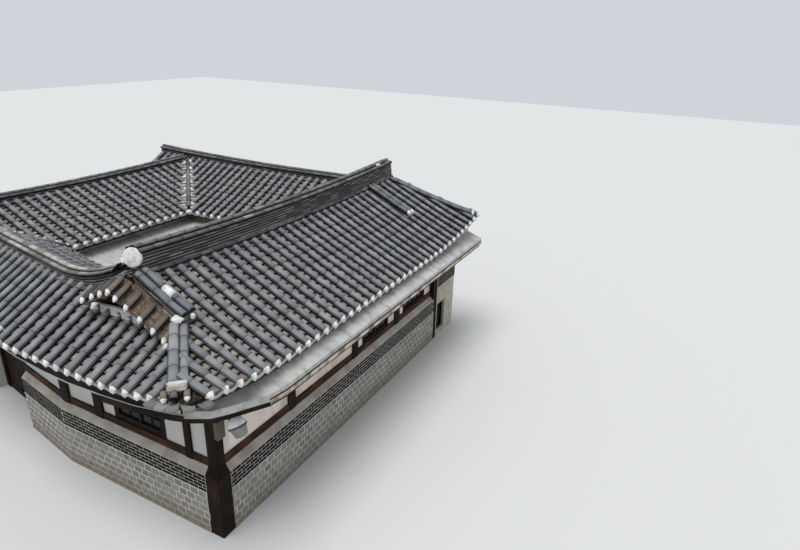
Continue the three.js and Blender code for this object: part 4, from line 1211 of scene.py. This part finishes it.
# %% Granite and brick
STONE_COURSES = 6
STONE_TOP = 0.82
STONE_WIDTH = 0.175
BRICK_WIDTH = 0.20
BRICK_TALL = 0.067
BRICK_ROWS = 5
RIB = 0.0065
HALF_JOINT = 0.0065
STONE_GAP = 0.008
STONE_FRONT = -0.009
RIB_FRONT = -0.013
BRICK_FRONT = -0.004
SUNK = 0.01


def block():
    shape = bmesh.new()
    bmesh.ops.create_cube(shape, size=1.0)
    front = [edge for edge in shape.edges if all(vertex.co.y < 0 for vertex in edge.verts)]
    bmesh.ops.bevel(shape, geom=front, offset=0.03, segments=1, profile=0.5, affect="EDGES", material=-1)
    return shape_up(shape)


def plain_bar():
    shape = bmesh.new()
    bmesh.ops.create_cube(shape, size=1.0)
    return shape_up(shape)


BLOCK = block()
BAR = plain_bar()


def course(left, right, width, shift):
    """The ends of the blocks of one course, with a cut block at each end of the wall."""
    marks = np.arange(left + shift % width - width, right + width, width)
    ends = [(max(a, left), min(b, right)) for a, b in zip(marks, marks[1:])]
    return [(a, b) for a, b in ends if b - a > 0.03]


def granite(wall, left, right, shift):
    stones, ribs = [], []
    tall = STONE_TOP / STONE_COURSES
    for row in range(STONE_COURSES):
        low = tall * row
        for a, b in course(left, right, STONE_WIDTH, shift + STONE_WIDTH / 2 * (row % 2)):
            wobble = chance.normal(0, 0.003)
            stones.append(wall.bar(a + STONE_GAP, b - STONE_GAP, low + STONE_GAP, low + tall - STONE_GAP,
                                   STONE_FRONT, SUNK))
            ribs.append(wall.bar(b - RIB + wobble, b + RIB + wobble, low, low + tall, RIB_FRONT, SUNK))
    for row in range(STONE_COURSES + 1):
        level = max(tall * row, RIB)
        ribs.append(wall.bar(left, right, level - RIB, level + RIB, RIB_FRONT, SUNK))
    return stones, ribs


def brick_band(wall, left, right, low, shift):
    bricks = []
    for row in range(BRICK_ROWS):
        level = low + BRICK_TALL * row
        for a, b in course(left, right, BRICK_WIDTH, shift + BRICK_WIDTH / 2 * (row % 2)):
            bricks.append(wall.bar(a + HALF_JOINT, b - HALF_JOINT, level + HALF_JOINT,
                                   level + BRICK_TALL - HALF_JOINT, BRICK_FRONT, SUNK))
    return bricks


def masonry(name, wall, left, right, stone_shift, brick_shift):
    stones, ribs = granite(wall, left, right, stone_shift)
    copies(name + "_granite", BLOCK, stones, GRANITE)
    copies(name + "_joints", BAR, ribs, MORTAR)
    bricks = brick_band(wall, left, right, STONE_TOP - 0.004, brick_shift)
    copies(name + "_bricks", BLOCK, bricks, BRICK)


masonry("east_wall", EAST_WALL, 0.27, 7.73, 0.05, 0.038)
masonry("south_wall", SOUTH_WALL, 0.0, 3.48, 0.06, 0.103)
masonry("bend_wall", BEND_WALL, 0.0, BEND_WALL.length, 0.02, 0.10)
for name, wall in OUTER_WALLS.items():
    masonry(name, wall, 0.0, wall.length, 0.0, 0.0)
copies("far_bay_bricks", BLOCK, brick_band(EAST_WALL, 7.96, 9.04, 1.436, 0.0), BRICK)


# %% [markdown]
# ## Timber on the walls
# The windows get a pane, a middle stile, rails and thin uprights inside the frame that is there. The gate is
# faced with upright boards. The outer walls that the street doesn't show repeat the sill and the posts.

# %% Windows and boards
WINDOW_DEPTH = 0.155
PANE_THICK = 0.004
STILE = (0.03, 0.025)
RAIL = (0.011, 0.018)
THIN_BAR = (0.010, 0.014)
RAIL_COUNT = 3
WINDOWS = (
    (EAST_WALL, 4.52, 5.43, 1.46, 2.29),
    (EAST_WALL, 6.35, 7.29, 1.46, 2.29),
    (SOUTH_WALL, 1.45, 2.48, 1.51, 2.24),
)
PLANK_PITCH = 0.16
PLANK_GAP = 0.006
PLANK = (0.12, 2.28, 0.036, 0.055)
PLAIN_RAILS = ((1.26, 1.40, -0.02, 0.01), (2.45, 2.58, -0.02, 0.01))
PLAIN_POST = (1.16, 2.60, -0.03, 0.01)
PLAIN_POST_WIDTH = 0.18
PLAIN_POST_PITCH = 2.2


def window(wall, left, right, low, high):
    """A pane and the bars in front of it, inside a frame. A bar has a half width and a thickness."""
    def upright(place, half, thick):
        return wall.bar(place - half, place + half, low, high, WINDOW_DEPTH - thick, WINDOW_DEPTH)

    pane = wall.bar(left, right, low, high, WINDOW_DEPTH, WINDOW_DEPTH + PANE_THICK)
    middle = (left + right) / 2
    bars = [upright(middle, *STILE)]
    half, thick = RAIL
    for rail in range(1, RAIL_COUNT + 1):
        level = low + (high - low) * rail / (RAIL_COUNT + 1)
        bars.append(wall.bar(left, right, level - half, level + half, WINDOW_DEPTH - thick, WINDOW_DEPTH))
    bars += [upright((end + middle) / 2, *THIN_BAR) for end in (left, right)]
    return pane, bars


panes, bars = [], []
for place in WINDOWS:
    pane, more = window(*place)
    panes.append(pane)
    bars += more
copies("window_panes", BAR, panes, PANE)
copies("window_bars", BAR, bars, LYING_TIMBER)

planks = [GATE_WALL.bar(x + PLANK_GAP, x + PLANK_PITCH - PLANK_GAP, *PLANK)
          for x in np.arange(0.17, 1.75, PLANK_PITCH)]
copies("gate_planks", BLOCK, planks, UPRIGHT_TIMBER)

plain_frames = []
for name in ("west_side_wall", "north_side_wall", "gate_side_wall"):
    wall = OUTER_WALLS[name]
    plain_frames += [wall.bar(0.0, wall.length, *rail) for rail in PLAIN_RAILS]
    count = max(2, round(wall.length / PLAIN_POST_PITCH) + 1)
    for left in np.linspace(0.0, wall.length - PLAIN_POST_WIDTH, count):
        plain_frames.append(wall.bar(left, left + PLAIN_POST_WIDTH, *PLAIN_POST))
copies("plain_wall_timbers", BLOCK, plain_frames, LYING_TIMBER)


# %% [markdown]
# ## The awning's edge
# The sheet-metal awning ends in a cream strip with a brown line on it along the east wall, and in a dark
# edge over a dark beam round the corner. The strip of sheet along the front ends in a thin pale line, with
# a dark board under it near the corner. Each of them is a row of bars along a path, with an overlap at the
# bends, two heights and two depths.

# %% Awning edge
AWNING_PATH = [(-0.12, -0.38), (0.20, -0.19), (0.36, 0.04), (0.50, 0.295), (0.65, 0.56), (0.70, 0.90),
               (0.70, 9.0)]
STRIP_PATH = [(-4.20, -0.51), (-3.60, -0.59), (-2.80, -0.645), (-2.20, -0.66), (-1.50, -0.62),
              (-0.90, -0.565), (-0.30, -0.44), (-0.12, -0.38)]
AT_CORNER = AWNING_PATH[:5]
ALONG_EAST = AWNING_PATH[4:]
EDGES = (
    ("strip_pale_line", STRIP_PATH, 0.004, (2.560, 2.578, -0.012, 0.004), SHEET, "sheet_metal"),
    ("strip_dark_board", STRIP_PATH[-4:], 0.004, (2.466, 2.560, -0.030, 0.0), LYING_TIMBER, "sheet_metal"),
    ("awning_cream_strip", ALONG_EAST, 0.006, (2.462, 2.535, -0.010, 0.006), FASCIA, "sheet_metal"),
    ("awning_brown_line", ALONG_EAST, 0.006, (2.535, 2.550, -0.012, 0.016), LYING_TIMBER, "sheet_metal"),
    ("awning_dark_edge", AT_CORNER, 0.006, (2.450, 2.497, -0.008, 0.006), LYING_TIMBER, "sheet_metal"),
    # Along the east wall the dark beam also stands for the shadow line under the cream strip: painted shade.
    ("awning_beam", AWNING_PATH, 0.006, (2.40, 2.465, 0.03, 0.11), LYING_TIMBER, "dark_timber"),
)
for name, path, overlap, size, look, slot in EDGES:
    runs = [Wall(start, end) for start, end in zip(path, path[1:])]
    copies(name, BAR, [run.bar(-overlap, run.length + overlap, *size) for run in runs], look)


# %% [markdown]
# ## The corner lamp
# A lamp hangs from an arm on the corner post: a white bell over ribbed glass, tipped outwards by about
# thirty degrees. Its parts are profiles spun once round. A small painted box and a pipe are fixed to the
# post behind it.

# %% Lamp
LAMP_TOP = (0.14, 0.29, 2.25)
LAMP_LEAN = (-0.50, 0.06, 0.86)
LAMP_SIZE = 1.28
GLASS_RIBS = 18
RIB_INWARD = 0.93
BELL = ((0.0, 0.03), (0.022, 0.03), (0.026, 0.0), (0.05, -0.015), (0.085, -0.05), (0.104, -0.10),
        (0.112, -0.14), (0.108, -0.14), (0.098, -0.10), (0.078, -0.055), (0.0, -0.03))
GLASS = ((0.0, -0.12), (0.102, -0.12), (0.104, -0.15), (0.082, -0.255), (0.064, -0.275), (0.0, -0.28))
RIM = ((0.0, -0.125), (0.100, -0.125), (0.117, -0.135), (0.117, -0.152), (0.100, -0.158), (0.0, -0.158))


def turned(profile, count):
    """A shape spun from a profile of radius and height, with both poles closed."""
    shape = bmesh.new()
    points = [shape.verts.new((radius, 0.0, height)) for radius, height in profile]
    edges = [shape.edges.new(pair) for pair in zip(points, points[1:])]
    bmesh.ops.spin(shape, geom=points + edges, axis=(0, 0, 1), cent=(0, 0, 0), angle=2 * math.pi, steps=count,
                   use_merge=True)
    bmesh.ops.remove_doubles(shape, verts=shape.verts, dist=0.0001)
    bmesh.ops.recalc_face_normals(shape, faces=shape.faces)
    return shape


def lean_into_place(shape):
    axis = Vector(LAMP_LEAN).normalized()
    side = axis.orthogonal().normalized()
    place = seat(at(*LAMP_TOP), side * LAMP_SIZE, axis.cross(side) * LAMP_SIZE, axis * LAMP_SIZE)
    bmesh.ops.transform(shape, matrix=place, verts=shape.verts)
    return shape


bell = add_shape("lamp_bell", lean_into_place(turned(BELL, 28)), ENAMEL, True)
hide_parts("corner_lamp")
glass = turned(GLASS, 2 * GLASS_RIBS)
for vertex in glass.verts:
    angle = math.atan2(vertex.co.y, vertex.co.x)
    if round(angle / (math.pi / GLASS_RIBS)) % 2:
        vertex.co.xy = vertex.co.xy * RIB_INWARD
add_shape("lamp_glass", lean_into_place(glass), LAMP_GLASS)
add_shape("lamp_rim", lean_into_place(turned(RIM, 28)), BOX_PAINT, True)
arm_bars = [
    seat(at(0.03, 0.20, 2.24), Vector((0.26, 0.02, 0)), Vector((-0.002, 0.03, 0)), UP * 0.03),
    seat(at(0.15, 0.25, 2.24), Vector((0.03, 0, 0)), Vector((0, 0.13, 0)), UP * 0.03),
]
copies("lamp_arm", BAR, arm_bars, BOX_PAINT)
box_bars = [
    seat(at(-0.065, 0.19, 1.98), Vector((0.08, 0, 0)), Vector((0, 0.16, 0)), UP * 0.32),
    seat(at(-0.075, 0.13, 2.28), Vector((0.03, 0, 0)), Vector((0, 0.03, 0)), UP * 0.30),
]
copies("post_box", BLOCK, box_bars, BOX_PAINT)


# %% [markdown]
# ## Finishes on the frame's own pieces
# Where a node of the frame already has the right shape, it only gets a better finish.

# %% Finishes for nodes
NODE_FINISHES = {
    MORTAR: ["east_stone_wall", "south_stone_wall"],
    CAP: ["east_wall_cap", "south_wall_cap"],
    WHITE_PLASTER: ["west_gable", "north_gable", "south_upper_wall", "far_wall", "north_wall",
                    "west_wall", "west_near_wall", "east_yard_wall", "north_yard_wall", "west_yard_wall",
                    "south_yard_wall"],
    BEIGE_WALL: ["far_bay_wall"],
    STREET_PLASTER: ["east_upper_wall"],
    # The near gable takes the dark timber: dark boards, and painted shade for the shaded opening under the
    # verge.
    UPRIGHT_TIMBER: ["corner_pier", "corner_post", "east_end_post", "bend_post", "east_post_1", "east_post_2",
                     "east_post_3", "south_post_1", "south_post_2", "gate", "east_gable"],
    LYING_TIMBER: ["east_window_1", "east_window_2", "south_window", "south_eave_strip"],
    RED_TIMBER: ["east_sill_beam", "south_sill_beam"],
    # The slopes under the tiles take the near-black bed: painted shade in the gaps.
    BEDDING_WITH_PAINTED_SHADE: list(SLOPES),
    SHEET: ["east_awning", "yard_awning"],
    PANE: ["far_window"],
    PAVING: ["east_floor", "west_floor", "yard_floor"],
}
for look, names in NODE_FINISHES.items():
    for name in names:
        NODES[name].data.materials.clear()
        NODES[name].data.materials.append(look)
print("nodes with a finish:", sum(len(names) for names in NODE_FINISHES.values()))


# %% [markdown]
# ## Floor and light
# A plain pale floor and soft light from a wide sky, with one broad high lamp from the front.

# %% Floor and light
FLOOR_SIZE = 60.0
FLOOR_COLOR = (0.60, 0.60, 0.59)
SKY_COLOR = (0.90, 0.94, 1.0)
SKY_STRENGTH = 0.70
SUN_STRENGTH = 2.1
SUN_WIDTH = 35
SUN_TURN = (16, -4, 0)


def floor_recipe(place, tone):
    return {"Roughness": 0.9 + 0.05 * place.noise(1.0)}


def set_floor():
    shape = bmesh.new()
    bmesh.ops.create_grid(shape, x_segments=1, y_segments=1, size=FLOOR_SIZE)
    mesh = bpy.data.meshes.new("floor")
    shape.to_mesh(mesh)
    floor = bpy.data.objects.new("floor", mesh)
    bpy.context.scene.collection.objects.link(floor)
    mesh.materials.append(finish("pale_floor", floor_recipe, Base_Color=rgb(*FLOOR_COLOR)))


def set_light():
    bpy.context.scene.view_settings.view_transform = "Standard"
    world = bpy.data.worlds.new("soft_sky")
    world.use_nodes = True
    sky = world.node_tree.nodes["Background"]
    sky.inputs["Color"].default_value = rgb(*SKY_COLOR)
    sky.inputs["Strength"].default_value = SKY_STRENGTH
    bpy.context.scene.world = world
    lamp = bpy.data.lights.new("broad_sun", "SUN")
    lamp.energy = SUN_STRENGTH
    lamp.angle = math.radians(SUN_WIDTH)
    sun = bpy.data.objects.new("broad_sun", lamp)
    bpy.context.scene.collection.objects.link(sun)
    sun.rotation_euler = [math.radians(angle) for angle in SUN_TURN]


set_floor()
set_light()
